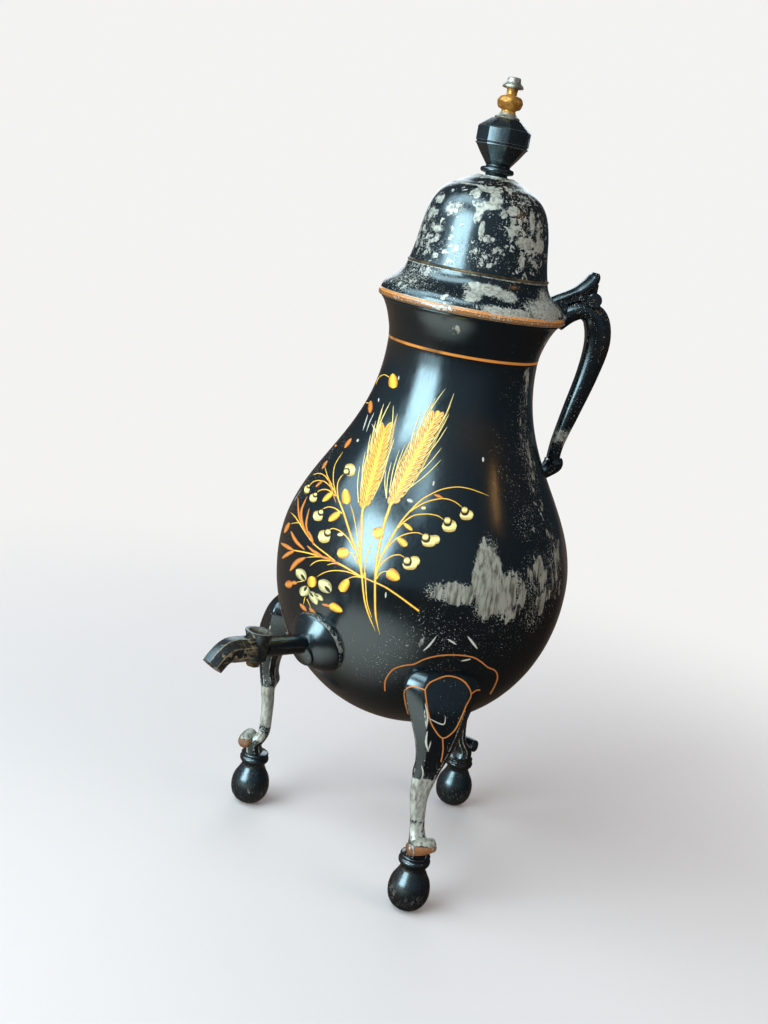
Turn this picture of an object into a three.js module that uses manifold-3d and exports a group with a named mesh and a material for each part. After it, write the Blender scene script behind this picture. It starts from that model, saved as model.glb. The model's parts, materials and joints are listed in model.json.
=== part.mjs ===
// Pewter coffee urn on three ball feet, with a hinged lid and a plug tap.
// Millimetres, +Z up. The tap points to -Y. The origin lies on the table, under the
// middle of the whole urn. Directions round the urn count from the tap towards +X.

import * as THREE from 'three';
import { mergeVertices } from 'three/addons/utils/BufferGeometryUtils.js';
import Module from 'manifold-3d';

const wasm = await Module();
wasm.setup();

// Gaps and shared sizes
const seam = 0.3;               // room left between two pieces that are soldered or seated
const overrun = 2;              // how far a cut runs past what it cuts
const wall = 2;                 // thickness of the cast and turned shells

// Body
const bowlBottom = 84;          // underside of the bowl above the table
const bellyHeight = 175.5;      // height of the widest line, where the two halves meet
const bellyRadius = 84.3;
const bowlFullness = 2.06;      // 2 is an ellipse, more is fuller
const bellyRun = 47.7;          // how far the belly keeps its width upwards
const neckRun = 57;             // how far the neck keeps its width downwards
const neckHeight = 300;
const neckRadius = 42.3;
const rimHeight = 25;           // height of the flared rim on the neck
const rimRadius = 50;
const rimLip = 3.8;             // width of the flat seat on top of the rim

// Legs and feet
const legDirections = [-60, 57.6, 182]; // set by hand, not quite evenly, as on the old urn
const ballRadius = 11.8;
const ballHeight = 27.2;
const collarRadius = 8.9;
const collarHeight = 6;
const pegRadius = 2.5;          // peg under the toe that holds the ring and the ball
const pegLength = 17;
const footInset = 3.7;          // the foot's middle stands this far inside the widest line
const kneeReach = 9;            // how far the knee stands out past the foot's middle
const kneeWidth = 44;
const legHeight = 141;          // top of the knee above the table
const toePadRadius = 7.8;
const toePadHeight = 3;
const toeRollRadius = 4.2;
const toeRollWidth = 16;
const toeRollHeight = 7.1;      // middle of the roll above the pad's underside
const toeRollReach = 6.7;       // middle of the roll outside the foot's middle

// Tap
const tapHeight = 138;          // where the tap's middle line leaves the bowl
const tapRise = 4.5;            // degrees that the tap points upwards
const rosetteRadius = 18.2;
const rosetteHeight = 13;
const tubeRadius = 5.3;
const tubeInside = 4;           // how far the tube reaches into the bowl
const waterwayRadius = 2.5;
const barrelDistance = 46;      // from the bowl's surface to the barrel's middle line
const barrelRadius = 6.6;
const barrelAbove = 9.2;        // barrel above and below the tap's middle line
const barrelBelow = 6.4;
const cupRadius = 6.1;          // open cup in the barrel's top, for the loose key
const cupDepth = 5.4;
const plugTopRadius = 4.4;
const plugFootRadius = 3.6;
const plugRunning = 0.3;        // running clearance round the plug
const driveWidth = 4.6;         // square stub that the loose key turns
const driveHeight = 1.2;
const tailRadius = 2;           // threaded tail under the plug
const washerRadius = 4.6;
const washerHeight = 1;
const nutRadius = 3.7;
const nutHeight = 2;
const outletRadius = 7;
const outletLength = 8;
const spoutReach = 13.2;
const spoutDrop = 8;
const spoutMouthRadius = 6.3;

// Handle and lid hinge
const handleDirection = 140;
const handleReach = 33.3;       // middle line of the grip, at its furthest, from the neck
const handleHeight = 86.5;      // from the top of the arch to the lower end
const archHeight = 10.2;        // middle line of the arch above the rim
const handleWidth = 12.4;
const handleDepth = 14.2;
const gripFootHeight = 10;
const hingeReach = 67;
const hingeHeight = 16.5;       // above the rim
const knuckleRadius = 4.4;
const knuckleWidth = 6.4;       // the lid's knuckle, between the handle's two
const lugWidth = 3.1;
const pinRadius = 1.2;
const hingeRunning = 0.35;      // running clearance in the hinge
const webDepth = 5.5;           // web between the lid's knuckle and the thumbpiece
const webHeight = 8.2;
const lidSwing = 1;             // room between the lid's edge and the handle

// Lid and finial
const flangeRadius = 52.3;
const flangeEdge = 3.8;
const flangeHeight = 21.7;
const domeBaseRadius = 38.9;
const domeHeight = 46.3;
const domeShoulderRadius = 18.6;
const stepRadius = 10.4;
const stepHeight = 4.3;
const lidBoreRadius = 44.6;
const lidBoreHeight = 6.1;
const lidCollarDepth = 5.2;
const lidCollarHeight = 5;      // how far the collar goes up into the lid
const lidCollarWall = 1.6;
const lidCollarInset = 3.1;     // the collar narrows by this, so that the lid swings free
const thumbWidth = 11.5;
const thumbDepth = 7;
const thumbHeight = 15;         // tip of the thumbpiece above the hinge
const studRadius = 1.6;
const studNutRadius = 4.5;
const studNutHeight = 3;
const studBelow = 5;            // how far the stud reaches below the dome's inner top
const spoolRadius = 9.3;
const spoolHeight = 5.8;
const knobRadius = 14.9;
const knobHeight = 23.8;
const knobTurn = 8.5;           // degrees that the knob's corners are turned
const ferruleRadius = 6.9;
const ferruleHeight = 3.1;
const beadRadius = 7;
const beadHeight = 10.1;
const capRadius = 5.8;
const capHeight = 7.9;

// Roundness of the turned pieces
const bodySides = 40;
const lidSides = 32;
const ringSides = 16;
const pinSides = 8;
const knobSides = 8;
const nutSides = 6;

// Outlines, as hand-chosen shares of a piece's radius and height
const rimOuterShares = [
  [0, 0], [0.09, 0.3], [0.25, 0.5], [0.5, 0.72], [0.8, 0.9], [1, 0.975], [1, 1],
];
const rimInnerShares = [[0.6, 0.8], [0.3, 0.6], [0.05, 0.3]];
const ballShares = [
  [0.32, 0], [0.68, 0.09], [0.92, 0.24], [1, 0.44], [0.93, 0.64], [0.73, 0.81], [0.61, 0.92], [0.62, 1],
];
const collarShares = [[0.83, 0], [0.97, 0.18], [1, 0.48], [0.89, 0.68], [0.95, 0.88], [0.86, 1]];
const rosetteShares = [
  [1, 0.09], [0.97, 0.17], [0.85, 0.36], [0.67, 0.59], [0.5, 0.76], [0.43, 0.84], [0.44, 0.94],
  [0.38, 1],
];
const spoolShares = [
  [0.71, 0], [0.66, 0.17], [0.93, 0.3], [1, 0.52], [0.93, 0.74], [0.75, 0.87], [0.74, 1],
];
const knobShares = [[0.48, 0], [0.75, 0.21], [0.97, 0.41], [1, 0.78], [0.55, 1]];
const ferruleShares = [[0.95, 0], [1, 0.3], [0.75, 0.62], [0.61, 1]];
const beadShares = [
  [0.62, 0], [0.9, 0.14], [1, 0.4], [0.91, 0.66], [0.62, 0.84], [0.5, 0.92], [0.5, 1],
];
const capShares = [[0.6, 0], [0.96, 0.28], [1, 0.38], [0.84, 0.7], [0.67, 0.92], [0.38, 1], [0, 1]];
const capSocketShare = 0.6;
const barrelOuterShares = [
  [0.85, 0], [0.97, 0.05], [1, 0.6], [1.02, 0.83], [1.14, 0.94], [1.15, 1],
];

// Where the spout bends: shares of its reach and its drop
const spoutBendShares = [0.7, 0.15];

// Flange: its edge as shares of the edge's height, and its slope from the edge to the dome
const flangeEdgeShares = [[0.2, 0], [0, 0.2], [0, 0.7]];
const flangeSlopeShares = [[0.93, 0], [0.83, 0.47], [0.11, 0.41], [0, 1]];

// Dome: its side as shares of its base radius and height, and the step on its top
const domeSideShares = [[1, 0], [0.853, 0.41], [0.964, 0.842]];
const domeStepShares = [[0.39, 0.42], [1, 0.93], [1, 1]];

// Leg sections from the toe up: height between pad and top, outer and inner reach as
// shares of the knee's stand, width as a share of the knee's width
const legSectionShares = [
  [0, 0.75, -0.45, 0.3], [0.04, 0.8, -0.3, 0.27], [0.072, 0.6, -0.52, 0.235],
  [0.114, 0.05, -0.72, 0.2], [0.17, -0.05, -0.76, 0.19], [0.254, 0, -0.72, 0.215],
  [0.324, 0.06, -0.66, 0.25], [0.394, 0.22, -0.57, 0.3], [0.454, 0.36, -0.78, 0.34],
  [0.506, 0.48, -0.6, 0.38], [0.58, 0.64, -0.62, 0.47], [0.655, 0.78, -0.9, 0.58],
  [0.73, 0.84, -1.45, 0.7], [0.795, 0.8, -2, 0.82], [0.86, 0.62, -1.9, 0.93],
  [0.916, 0.4, -1.6, 0.97], [0.963, 0.2, -1.3, 0.85], [1, 0.03, -1, 0.5],
];
const legRoundShares = [
  [-0.6, 1], [0.6, 1], [1, 0.35], [0.92, -0.5], [0.5, -1], [-0.5, -1], [-0.92, -0.5], [-1, 0.35],
];

// Handle stations from the rim to the lower end: reach past a line from the neck to the
// shoulder, drop, depth and width
const handleStationShares = [
  [0.16, 0.1, 0.82, 0.96], [0.408, 0.03, 0.74, 0.96], [0.64, 0, 0.76, 1], [0.86, 0.047, 0.98, 1],
  [0.915, 0.19, 1, 0.97], [0.782, 0.4, 0.85, 0.89], [0.526, 0.67, 0.7, 0.8],
  [0.328, 0.88, 0.55, 0.73], [0.256, 1, 0.52, 0.73],
];
const gripSectionShares = [
  [-0.45, 1], [0.45, 1], [1, 0.3], [1, -0.4], [0.6, -1], [-0.6, -1], [-1, -0.4], [-1, 0.3],
];
const gripFootShares = [
  [0.266, 0, 0.6, 0.84], [0.281, 0.28, 0.74, 0.9], [0.186, 0.7, 0.58, 0.84], [0.006, 1.15, 0.5, 0.8],
];

// Thumbpiece stations from the lid's slope to the tip: reach, rise, depth and width
const thumbStationShares = [
  [0.63, -0.34, 0.5, 0.6], [0.725, -0.06, 0.57, 0.7], [0.82, 0.14, 0.76, 0.82], [0.9, 0.37, 1, 0.95],
  [0.955, 0.63, 1, 1], [0.98, 0.85, 0.86, 0.9], [0.985, 1, 0.5, 0.55],
];

// Finishes
const finishes = {
  blackLacquer: { color: 0x0d1214, roughness: 0.32, metalness: 0.25 },
  wornLacquer: { color: 0x23282a, roughness: 0.45, metalness: 0.4 },
  blackWood: { color: 0x14191d, roughness: 0.4, metalness: 0 },
  barePewter: { color: 0x9a9c92, roughness: 0.45, metalness: 0.85 },
  darkBrass: { color: 0x4f4634, roughness: 0.5, metalness: 0.75 },
  gildedBrass: { color: 0xc8962f, roughness: 0.3, metalness: 0.9 },
};

// Turns a closed geometry into a solid with its faces outwards
function solidOf(geometry) {
  geometry.deleteAttribute('normal');
  geometry.deleteAttribute('uv');
  const merged = mergeVertices(geometry);
  const corners = merged.index.array;
  const triVerts = [];
  for (let i = 0; i < corners.length; i += 3) {
    const [a, b, c] = corners.slice(i, i + 3);
    if (a !== b && b !== c && c !== a) triVerts.push(a, b, c);
  }
  const vertProperties = new Float32Array(merged.attributes.position.array);
  return new wasm.Manifold(
    new wasm.Mesh({ numProp: 3, vertProperties, triVerts: new Uint32Array(triVerts) }),
  );
}

function geometryOf(solid) {
  const { vertProperties, triVerts } = solid.getMesh();
  const geometry = new THREE.BufferGeometry();
  geometry.setAttribute('position', new THREE.BufferAttribute(vertProperties, 3));
  geometry.setIndex(new THREE.BufferAttribute(triVerts, 1));
  return geometry;
}

// A turned solid round Z. The outline runs up the outside, from the axis or round a wall
function turned(outline, sides) {
  const points = outline.map(([radius, height]) => new THREE.Vector2(radius, height));
  const onAxis = points[0].x === 0 && points.at(-1).x === 0;
  if (!onAxis) points.push(points[0].clone());
  return new THREE.LatheGeometry(points, sides).rotateX(Math.PI / 2);
}

const tube = (inner, outer, low, high, sides) =>
  turned([[inner, low], [outer, low], [outer, high], [inner, high]], sides);
const rod = (radius, low, high, sides) =>
  turned([[0, low], [radius, low], [radius, high], [0, high]], sides);

// Points of an outline from shares of a radius and a height, on a base
const scaled = (shares, radius, height, base) =>
  shares.map(([across, up]) => [across * radius, base + up * height]);

// An outline moved outwards along its normals, or inwards by a negative distance
function moved(outline, distance) {
  return outline.map(([radius, height], i) => {
    const [lowRadius, lowHeight] = outline[Math.max(i - 1, 0)];
    const [highRadius, highHeight] = outline[Math.min(i + 1, outline.length - 1)];
    const length = Math.hypot(highRadius - lowRadius, highHeight - lowHeight);
    const outwards = (distance * (highHeight - lowHeight)) / length;
    const downwards = (distance * (highRadius - lowRadius)) / length;
    return [Math.max(radius + outwards, 0), height - downwards];
  });
}

const curvePoints = (curve, steps) => curve.getPoints(steps).map(({ x, y }) => [x, y]);

function radiusAt(outline, height) {
  const top = outline.findIndex(([, z]) => z >= height);
  const [[lowRadius, lowHeight], [highRadius, highHeight]] = [outline[top - 1], outline[top]];
  return THREE.MathUtils.mapLinear(height, lowHeight, highHeight, lowRadius, highRadius);
}

// A solid skinned over rings that all have the same number of corners
function lofted(rings) {
  const corners = rings[0].length;
  const positions = rings.flat().flatMap((point) => point.toArray());
  const last = (rings.length - 1) * corners;
  const index = [];
  for (let ring = 0; ring < last; ring += corners) {
    for (let corner = 0; corner < corners; corner += 1) {
      const [a, b] = [ring + corner, ring + ((corner + 1) % corners)];
      index.push(a, b, b + corners, a, b + corners, a + corners);
    }
  }
  for (let corner = 1; corner + 1 < corners; corner += 1) {
    index.push(0, corner + 1, corner, last, last + corner, last + corner + 1);
  }
  const geometry = new THREE.BufferGeometry();
  geometry.setAttribute('position', new THREE.Float32BufferAttribute(positions, 3));
  geometry.setIndex(index);
  return geometry;
}

// Rings square to a path in the plane of -Y and Z. A station is reach, height, depth, width
function ringsAlong(stations, sectionShares) {
  return stations.map(([reach, height, depth, width], i) => {
    const [reachBefore, heightBefore] = stations[Math.max(i - 1, 0)];
    const [reachAfter, heightAfter] = stations[Math.min(i + 1, stations.length - 1)];
    const along = new THREE.Vector2(reachAfter - reachBefore, heightAfter - heightBefore).normalize();
    return sectionShares.map(([across, out]) => new THREE.Vector3(
      -(across * width) / 2,
      -(reach - (along.y * out * depth) / 2),
      height + (along.x * out * depth) / 2,
    ));
  });
}

const regularShares = (sides) => Array.from({ length: sides }, (_, i) => {
  const angle = (Math.PI * (2 * i - 1)) / sides;
  return [Math.sin(angle), Math.cos(angle)];
});

const finishOf = (finish) => new THREE.MeshStandardMaterial({ ...finishes[finish], flatShading: true });

function place(parent, name, solid, finish) {
  const mesh = new THREE.Mesh(geometryOf(solid), finishOf(finish));
  mesh.name = name;
  parent.add(mesh);
  return mesh;
}

function turnedGroup(parent, direction) {
  const group = new THREE.Group();
  group.rotation.z = THREE.MathUtils.degToRad(direction);
  parent.add(group);
  return group;
}

// Body outlines, from the pole of the bowl to the seat of the rim
const bowlRise = bellyHeight - bowlBottom;
const bowlSteps = 9;
const bowlOutline = Array.from({ length: bowlSteps + 1 }, (_, i) => {
  const angle = (i / bowlSteps) * (Math.PI / 2);
  return [
    bellyRadius * Math.sin(angle) ** (2 / bowlFullness),
    bellyHeight - bowlRise * Math.cos(angle) ** (2 / bowlFullness),
  ];
});
bowlOutline.at(-1)[1] = bellyHeight;

const upperSteps = 10;
const upperOutline = curvePoints(new THREE.CubicBezierCurve(
  new THREE.Vector2(bellyRadius, bellyHeight),
  new THREE.Vector2(bellyRadius, bellyHeight + bellyRun),
  new THREE.Vector2(neckRadius, neckHeight - neckRun),
  new THREE.Vector2(neckRadius, neckHeight),
), upperSteps);

const rimTop = neckHeight + rimHeight;
const rimOutline = scaled(rimOuterShares, rimRadius - neckRadius, rimHeight, neckHeight)
  .map(([radius, height]) => [neckRadius + radius, height]);
const rimBoreTop = rimRadius - rimLip;
const rimBore = neckRadius - wall;

const bodyOutline = [...bowlOutline, ...upperOutline.slice(1), ...rimOutline.slice(1)];

// The whole body as one lump that stands the seam's gap proud, to trim what is soldered on
const bodyLump = (() => {
  const outline = moved(bodyOutline, seam);
  outline[0][0] = 0;
  return solidOf(turned([...outline, [0, rimTop + seam]], bodySides));
})();

// Tap frame: it starts on the bowl's surface, and the tap's middle line is its -Y
const tapFrame = new THREE.Group();
tapFrame.position.set(0, -radiusAt(bodyOutline, tapHeight), tapHeight);
tapFrame.rotation.x = -THREE.MathUtils.degToRad(tapRise);
tapFrame.updateMatrix();

function bodyShells(parent) {
  const tapHole = solidOf(rod(tubeRadius + seam, -2 * tubeRadius, 2 * tubeRadius, ringSides)
    .rotateX(Math.PI / 2).applyMatrix4(tapFrame.matrix));
  const bowlInside = moved(bowlOutline, -wall);
  bowlInside[0][0] = 0;
  bowlInside.at(-1)[1] = bellyHeight;
  const lowerBowl = turned([...bowlOutline, ...bowlInside.reverse()], bodySides);
  place(parent, 'lower_bowl', solidOf(lowerBowl).subtract(tapHole), 'blackLacquer');

  const upperInside = moved(upperOutline, -wall);
  const shoulder = [...upperOutline, ...upperInside.reverse()];
  const [seamLow, seamHigh] = [bellyHeight + seam, neckHeight - seam];
  const trimmed = shoulder.map(([radius, height]) =>
    [radius, THREE.MathUtils.clamp(height, seamLow, seamHigh)]);
  place(parent, 'upper_body', solidOf(turned(trimmed, bodySides)), 'blackLacquer');

  const rimInside = scaled(rimInnerShares, rimBoreTop - rimBore, rimHeight, neckHeight)
    .map(([radius, height]) => [rimBore + radius, height]);
  const rim = [...rimOutline, [rimBoreTop, rimTop], ...rimInside, [rimBore, neckHeight]];
  place(parent, 'neck_rim', solidOf(turned(rim, bodySides)), 'blackLacquer');
}

// Feet and legs
const footReach = bellyRadius - footInset;
const padBottom = ballHeight + collarHeight + 2 * seam;

function legSolid() {
  const rings = legSectionShares.map(([up, out, inwards, across]) => {
    const height = padBottom + up * (legHeight - padBottom);
    const [outer, inner] = [footReach + out * kneeReach, footReach + inwards * kneeReach];
    const [middle, depth] = [(outer + inner) / 2, outer - inner];
    return legRoundShares.map(([side, front]) => new THREE.Vector3(
      (side * across * kneeWidth) / 2,
      -(middle + (front * depth) / 2),
      height,
    ));
  });
  const roll = rod(toeRollRadius, -toeRollWidth / 2, toeRollWidth / 2, ringSides).rotateY(Math.PI / 2)
    .translate(0, -footReach - toeRollReach, padBottom + toeRollHeight);
  const pad = rod(toePadRadius, padBottom, padBottom + toePadHeight, ringSides)
    .translate(0, -footReach, 0);
  const peg = rod(pegRadius, padBottom - pegLength, padBottom + toePadHeight / 2, pinSides)
    .translate(0, -footReach, 0);
  return solidOf(lofted(rings)).add(solidOf(roll)).add(solidOf(pad)).add(solidOf(peg))
    .subtract(bodyLump);
}

function legs(parent) {
  const boreRadius = pegRadius + seam;
  const boreBottom = padBottom - pegLength - seam;
  const leg = legSolid();
  const ballOutline = scaled(ballShares, ballRadius, ballHeight, 0);
  const collarOutline = scaled(collarShares, collarRadius, collarHeight, ballHeight + seam);
  const ball = turned([
    [0, 0], ...ballOutline, [boreRadius, ballHeight], [boreRadius, boreBottom], [0, boreBottom],
  ], ringSides);
  const collar = turned([
    [boreRadius, ballHeight + seam], ...collarOutline, [boreRadius, ballHeight + seam + collarHeight],
  ], ringSides);
  const sides = ['left', 'right', 'back'];
  legDirections.forEach((direction, i) => {
    const group = turnedGroup(parent, direction);
    const atFoot = (geometry) => solidOf(geometry.clone().translate(0, -footReach, 0));
    place(group, `leg_${sides[i]}`, leg, 'wornLacquer');
    place(group, `foot_ring_${sides[i]}`, atFoot(collar), 'blackLacquer');
    place(group, `foot_ball_${sides[i]}`, atFoot(ball), 'blackWood');
  });
}

// Tap
const tapDirection = Math.PI / 2; // turns a piece that is made along +Z to point to -Y

function tap(parent) {
  const group = tapFrame;
  parent.add(group);
  const lump = bodyLump.transform(group.matrix.clone().invert().elements);
  const bore = (low, high) => solidOf(rod(waterwayRadius, low, high, pinSides).rotateX(tapDirection));
  const barrelTurn = (outline, sides) => turned(outline, sides).translate(0, -barrelDistance, 0);

  const [reachAbove, reachBelow] = [rosetteRadius, -rosetteRadius]
    .map((offset) => radiusAt(bodyOutline, tapHeight + offset));
  const slope = Math.atan2(reachAbove - reachBelow, 2 * rosetteRadius);
  const rosetteDepth = rosetteRadius / 2;
  const rosetteOutline = scaled(rosetteShares, rosetteRadius, rosetteHeight, 0);
  const rosette = turned([
    [0, -rosetteDepth], [rosetteRadius, -rosetteDepth], ...rosetteOutline, [0, rosetteHeight],
  ], 2 * ringSides).rotateX(tapDirection + slope + THREE.MathUtils.degToRad(tapRise));
  const tubeHole = solidOf(rod(tubeRadius + seam, -rosetteRadius, 2 * rosetteHeight, ringSides)
    .rotateX(tapDirection));
  place(group, 'tap_rosette', solidOf(rosette).subtract(lump).subtract(tubeHole), 'blackLacquer');

  const barrelHeight = barrelAbove + barrelBelow;
  const barrelOutline = scaled(barrelOuterShares, barrelRadius, barrelHeight, -barrelBelow);
  const seatHeight = barrelAbove - cupDepth;
  const barrelLump = solidOf(barrelTurn([
    [0, -barrelBelow - seam], ...moved(barrelOutline, seam), [0, barrelAbove + seam],
  ], ringSides));
  const inlet = tube(waterwayRadius, tubeRadius, -tubeInside - wall, barrelDistance, ringSides)
    .rotateX(tapDirection);
  place(group, 'tap_tube', solidOf(inlet).subtract(barrelLump), 'blackLacquer');

  const barrel = solidOf(barrelTurn([
    [plugFootRadius + plugRunning, -barrelBelow], ...barrelOutline, [cupRadius, barrelAbove],
    [cupRadius, seatHeight], [plugTopRadius + plugRunning, seatHeight],
  ], ringSides));
  const sideBore = bore(barrelDistance - 2 * barrelRadius, barrelDistance + 2 * barrelRadius);
  place(group, 'tap_barrel', barrel.subtract(sideBore), 'darkBrass');

  const plug = solidOf(barrelTurn([
    [0, -barrelBelow - washerHeight - nutHeight - 3 * seam],
    [tailRadius, -barrelBelow - washerHeight - nutHeight - 3 * seam],
    [tailRadius, -barrelBelow], [plugFootRadius, -barrelBelow], [plugTopRadius, seatHeight],
    [0, seatHeight],
  ], ringSides));
  const drive = new THREE.BoxGeometry(driveWidth, driveWidth, 2 * driveHeight)
    .translate(0, -barrelDistance, seatHeight);
  const crossBore = rod(waterwayRadius, -barrelRadius, barrelRadius, pinSides)
    .rotateY(Math.PI / 2).translate(0, -barrelDistance, 0);
  place(group, 'tap_plug', plug.add(solidOf(drive)).subtract(solidOf(crossBore)), 'barePewter');

  const washerTop = -barrelBelow - seam;
  const nutTop = washerTop - washerHeight - seam;
  const washer = barrelTurn([
    [tailRadius + seam, washerTop - washerHeight], [washerRadius, washerTop - washerHeight],
    [washerRadius, washerTop], [tailRadius + seam, washerTop],
  ], ringSides);
  place(group, 'tap_washer', solidOf(washer), 'darkBrass');
  const nut = barrelTurn([
    [tailRadius + seam, nutTop - nutHeight], [nutRadius, nutTop - nutHeight], [nutRadius, nutTop],
    [tailRadius + seam, nutTop],
  ], nutSides);
  place(group, 'tap_nut', solidOf(nut), 'darkBrass');

  const outletStart = barrelDistance + barrelRadius;
  const outletEnd = outletStart + outletLength;
  const outlet = rod(outletRadius, barrelDistance, outletEnd, knobSides).rotateZ(Math.PI / knobSides)
    .rotateX(tapDirection);
  const outletBore = bore(barrelDistance, outletEnd + overrun);
  place(group, 'tap_outlet', solidOf(outlet).subtract(barrelLump).subtract(outletBore), 'darkBrass');

  const spoutStart = outletEnd + seam;
  const [bendReachShare, bendRiseShare] = spoutBendShares;
  const path = new THREE.QuadraticBezierCurve(
    new THREE.Vector2(spoutStart, 0),
    new THREE.Vector2(spoutStart + bendReachShare * spoutReach, bendRiseShare * spoutDrop),
    new THREE.Vector2(spoutStart + spoutReach, -spoutDrop),
  );
  const spoutSteps = 6;
  const stations = curvePoints(path, spoutSteps);
  const start = new THREE.Vector2(...stations[0]);
  const lead = path.getTangent(0).multiplyScalar(overrun);
  const trail = path.getTangent(1).multiplyScalar(overrun);
  const end = new THREE.Vector2(...stations.at(-1)).add(trail);
  start.sub(lead);
  const outside = stations.map(([reach, height], i) => {
    const radius = THREE.MathUtils.lerp(outletRadius, spoutMouthRadius, i / spoutSteps);
    return [reach, height, 2 * radius, 2 * radius];
  });
  const through = [start.toArray(), ...stations.slice(1, -1), end.toArray()]
    .map(([reach, height]) => [reach, height, 2 * waterwayRadius, 2 * waterwayRadius]);
  const octagon = regularShares(knobSides);
  const spoutFace = new THREE.BoxGeometry(4 * outletRadius, 2 * outletRadius, 4 * outletRadius)
    .translate(0, outletRadius - spoutStart, 0);
  const spout = solidOf(lofted(ringsAlong(outside, octagon)))
    .subtract(solidOf(lofted(ringsAlong(through, octagon)))).subtract(solidOf(spoutFace));
  place(group, 'tap_spout', spout, 'darkBrass');
}

// Handle, with the two outer knuckles of the hinge on its arch
const lidSeat = rimTop + seam;
const hingeAt = rimTop + hingeHeight;
const atHinge = (geometry) => geometry.rotateY(Math.PI / 2).translate(0, -hingeReach, hingeAt);

function handle(parent) {
  const group = turnedGroup(parent, handleDirection);
  const archAt = rimTop + archHeight;
  const shoulderRadius = radiusAt(bodyOutline, archAt - handleHeight);
  const stations = handleStationShares.map(([reach, drop, depth, width]) => [
    THREE.MathUtils.lerp(neckRadius, shoulderRadius, drop) + reach * handleReach,
    archAt - drop * handleHeight,
    depth * handleDepth,
    width * handleWidth,
  ]);
  const lugOuter = knuckleWidth / 2 + hingeRunning + lugWidth;
  const lugs = solidOf(atHinge(rod(knuckleRadius, -lugOuter, lugOuter, ringSides)));
  const slotHalf = knuckleWidth / 2 + hingeRunning;
  const slot = solidOf(atHinge(rod(knuckleRadius + 2 * hingeRunning, -slotHalf, slotHalf, ringSides)));
  const pinHole = solidOf(atHinge(rod(pinRadius + seam, -handleWidth, handleWidth, pinSides)));
  const lidRoom = solidOf(rod(flangeRadius + lidSwing, lidSeat, lidSeat + handleHeight, bodySides));
  const grip = solidOf(lofted(ringsAlong(stations, gripSectionShares)))
    .add(lugs).subtract(slot).subtract(pinHole).subtract(lidRoom).subtract(bodyLump);
  place(group, 'handle', grip, 'blackLacquer');

  const footTop = archAt - handleHeight - seam;
  const footStations = gripFootShares.map(([reach, drop, depth, width]) => [
    shoulderRadius + reach * handleReach,
    footTop - drop * gripFootHeight,
    depth * handleDepth,
    width * handleWidth,
  ]);
  const aboveFoot = new THREE.BoxGeometry(2 * handleWidth, 2 * bellyRadius, handleHeight)
    .translate(0, -bellyRadius, footTop + handleHeight / 2);
  const gripFoot = solidOf(lofted(ringsAlong(footStations, gripSectionShares)))
    .subtract(bodyLump).subtract(solidOf(aboveFoot));
  place(group, 'handle_foot', gripFoot, 'blackLacquer');

  const pin = solidOf(atHinge(rod(pinRadius, -lugOuter, lugOuter, pinSides)));
  place(group, 'hinge_pin', pin, 'darkBrass');
}

// Lid
const domeBase = lidSeat + flangeHeight;
const domeTop = domeBase + domeHeight;
const slopeSteps = 7;
const solidSteps = 3;           // the slope's first steps stay solid, for the edge
const domeSteps = 10;

const flangeSlope = curvePoints(new THREE.CubicBezierCurve(
  ...flangeSlopeShares.map(([out, up]) => new THREE.Vector2(
    THREE.MathUtils.lerp(domeBaseRadius, flangeRadius, out),
    THREE.MathUtils.lerp(lidSeat + flangeEdge, domeBase, up),
  )),
), slopeSteps);
const flangeOutline = [
  ...flangeEdgeShares.map(([inset, up]) =>
    [flangeRadius - inset * flangeEdge, lidSeat + up * flangeEdge]),
  ...flangeSlope,
];

const domeOutline = curvePoints(new THREE.CubicBezierCurve(
  ...scaled(domeSideShares, domeBaseRadius, domeHeight, domeBase + seam)
    .map(([radius, height]) => new THREE.Vector2(radius, height)),
  new THREE.Vector2(domeShoulderRadius, domeTop),
), domeSteps);

function lidShells(parent) {
  const flangeInside = moved(flangeSlope, -wall).slice(solidSteps).reverse();
  const flange = turned([
    [lidBoreRadius, lidSeat], ...flangeOutline, ...flangeInside,
    [lidBoreRadius, lidSeat + lidBoreHeight],
  ], lidSides);
  place(parent, 'lid_flange', solidOf(flange), 'wornLacquer');

  const collarTop = lidSeat + lidCollarHeight;
  const collarBottom = lidSeat - lidCollarDepth;
  const collarRadiusTop = lidBoreRadius - seam;
  const collarRadiusFoot = collarRadiusTop - lidCollarInset;
  const collar = turned([
    [collarRadiusFoot - lidCollarWall, collarBottom], [collarRadiusFoot, collarBottom],
    [collarRadiusTop, lidSeat], [collarRadiusTop, collarTop],
    [collarRadiusTop - lidCollarWall, collarTop], [collarRadiusTop - lidCollarWall, lidSeat],
  ], lidSides);
  place(parent, 'lid_collar', solidOf(collar), 'barePewter');

  const studHole = studRadius + seam;
  const stepTop = domeTop + stepHeight;
  const innerTop = stepTop - wall;
  const domeInside = moved(domeOutline, -wall).reverse();
  const step = domeStepShares.map(([inwards, up]) =>
    [THREE.MathUtils.lerp(domeShoulderRadius, stepRadius, inwards), domeTop + up * stepHeight]);
  const dome = turned([
    ...domeOutline, ...step, [studHole, stepTop], [studHole, innerTop],
    [stepRadius - wall, innerTop], ...domeInside,
  ], lidSides);
  place(parent, 'lid_dome', solidOf(dome), 'wornLacquer');
  return { stepTop, innerTop };
}

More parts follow.
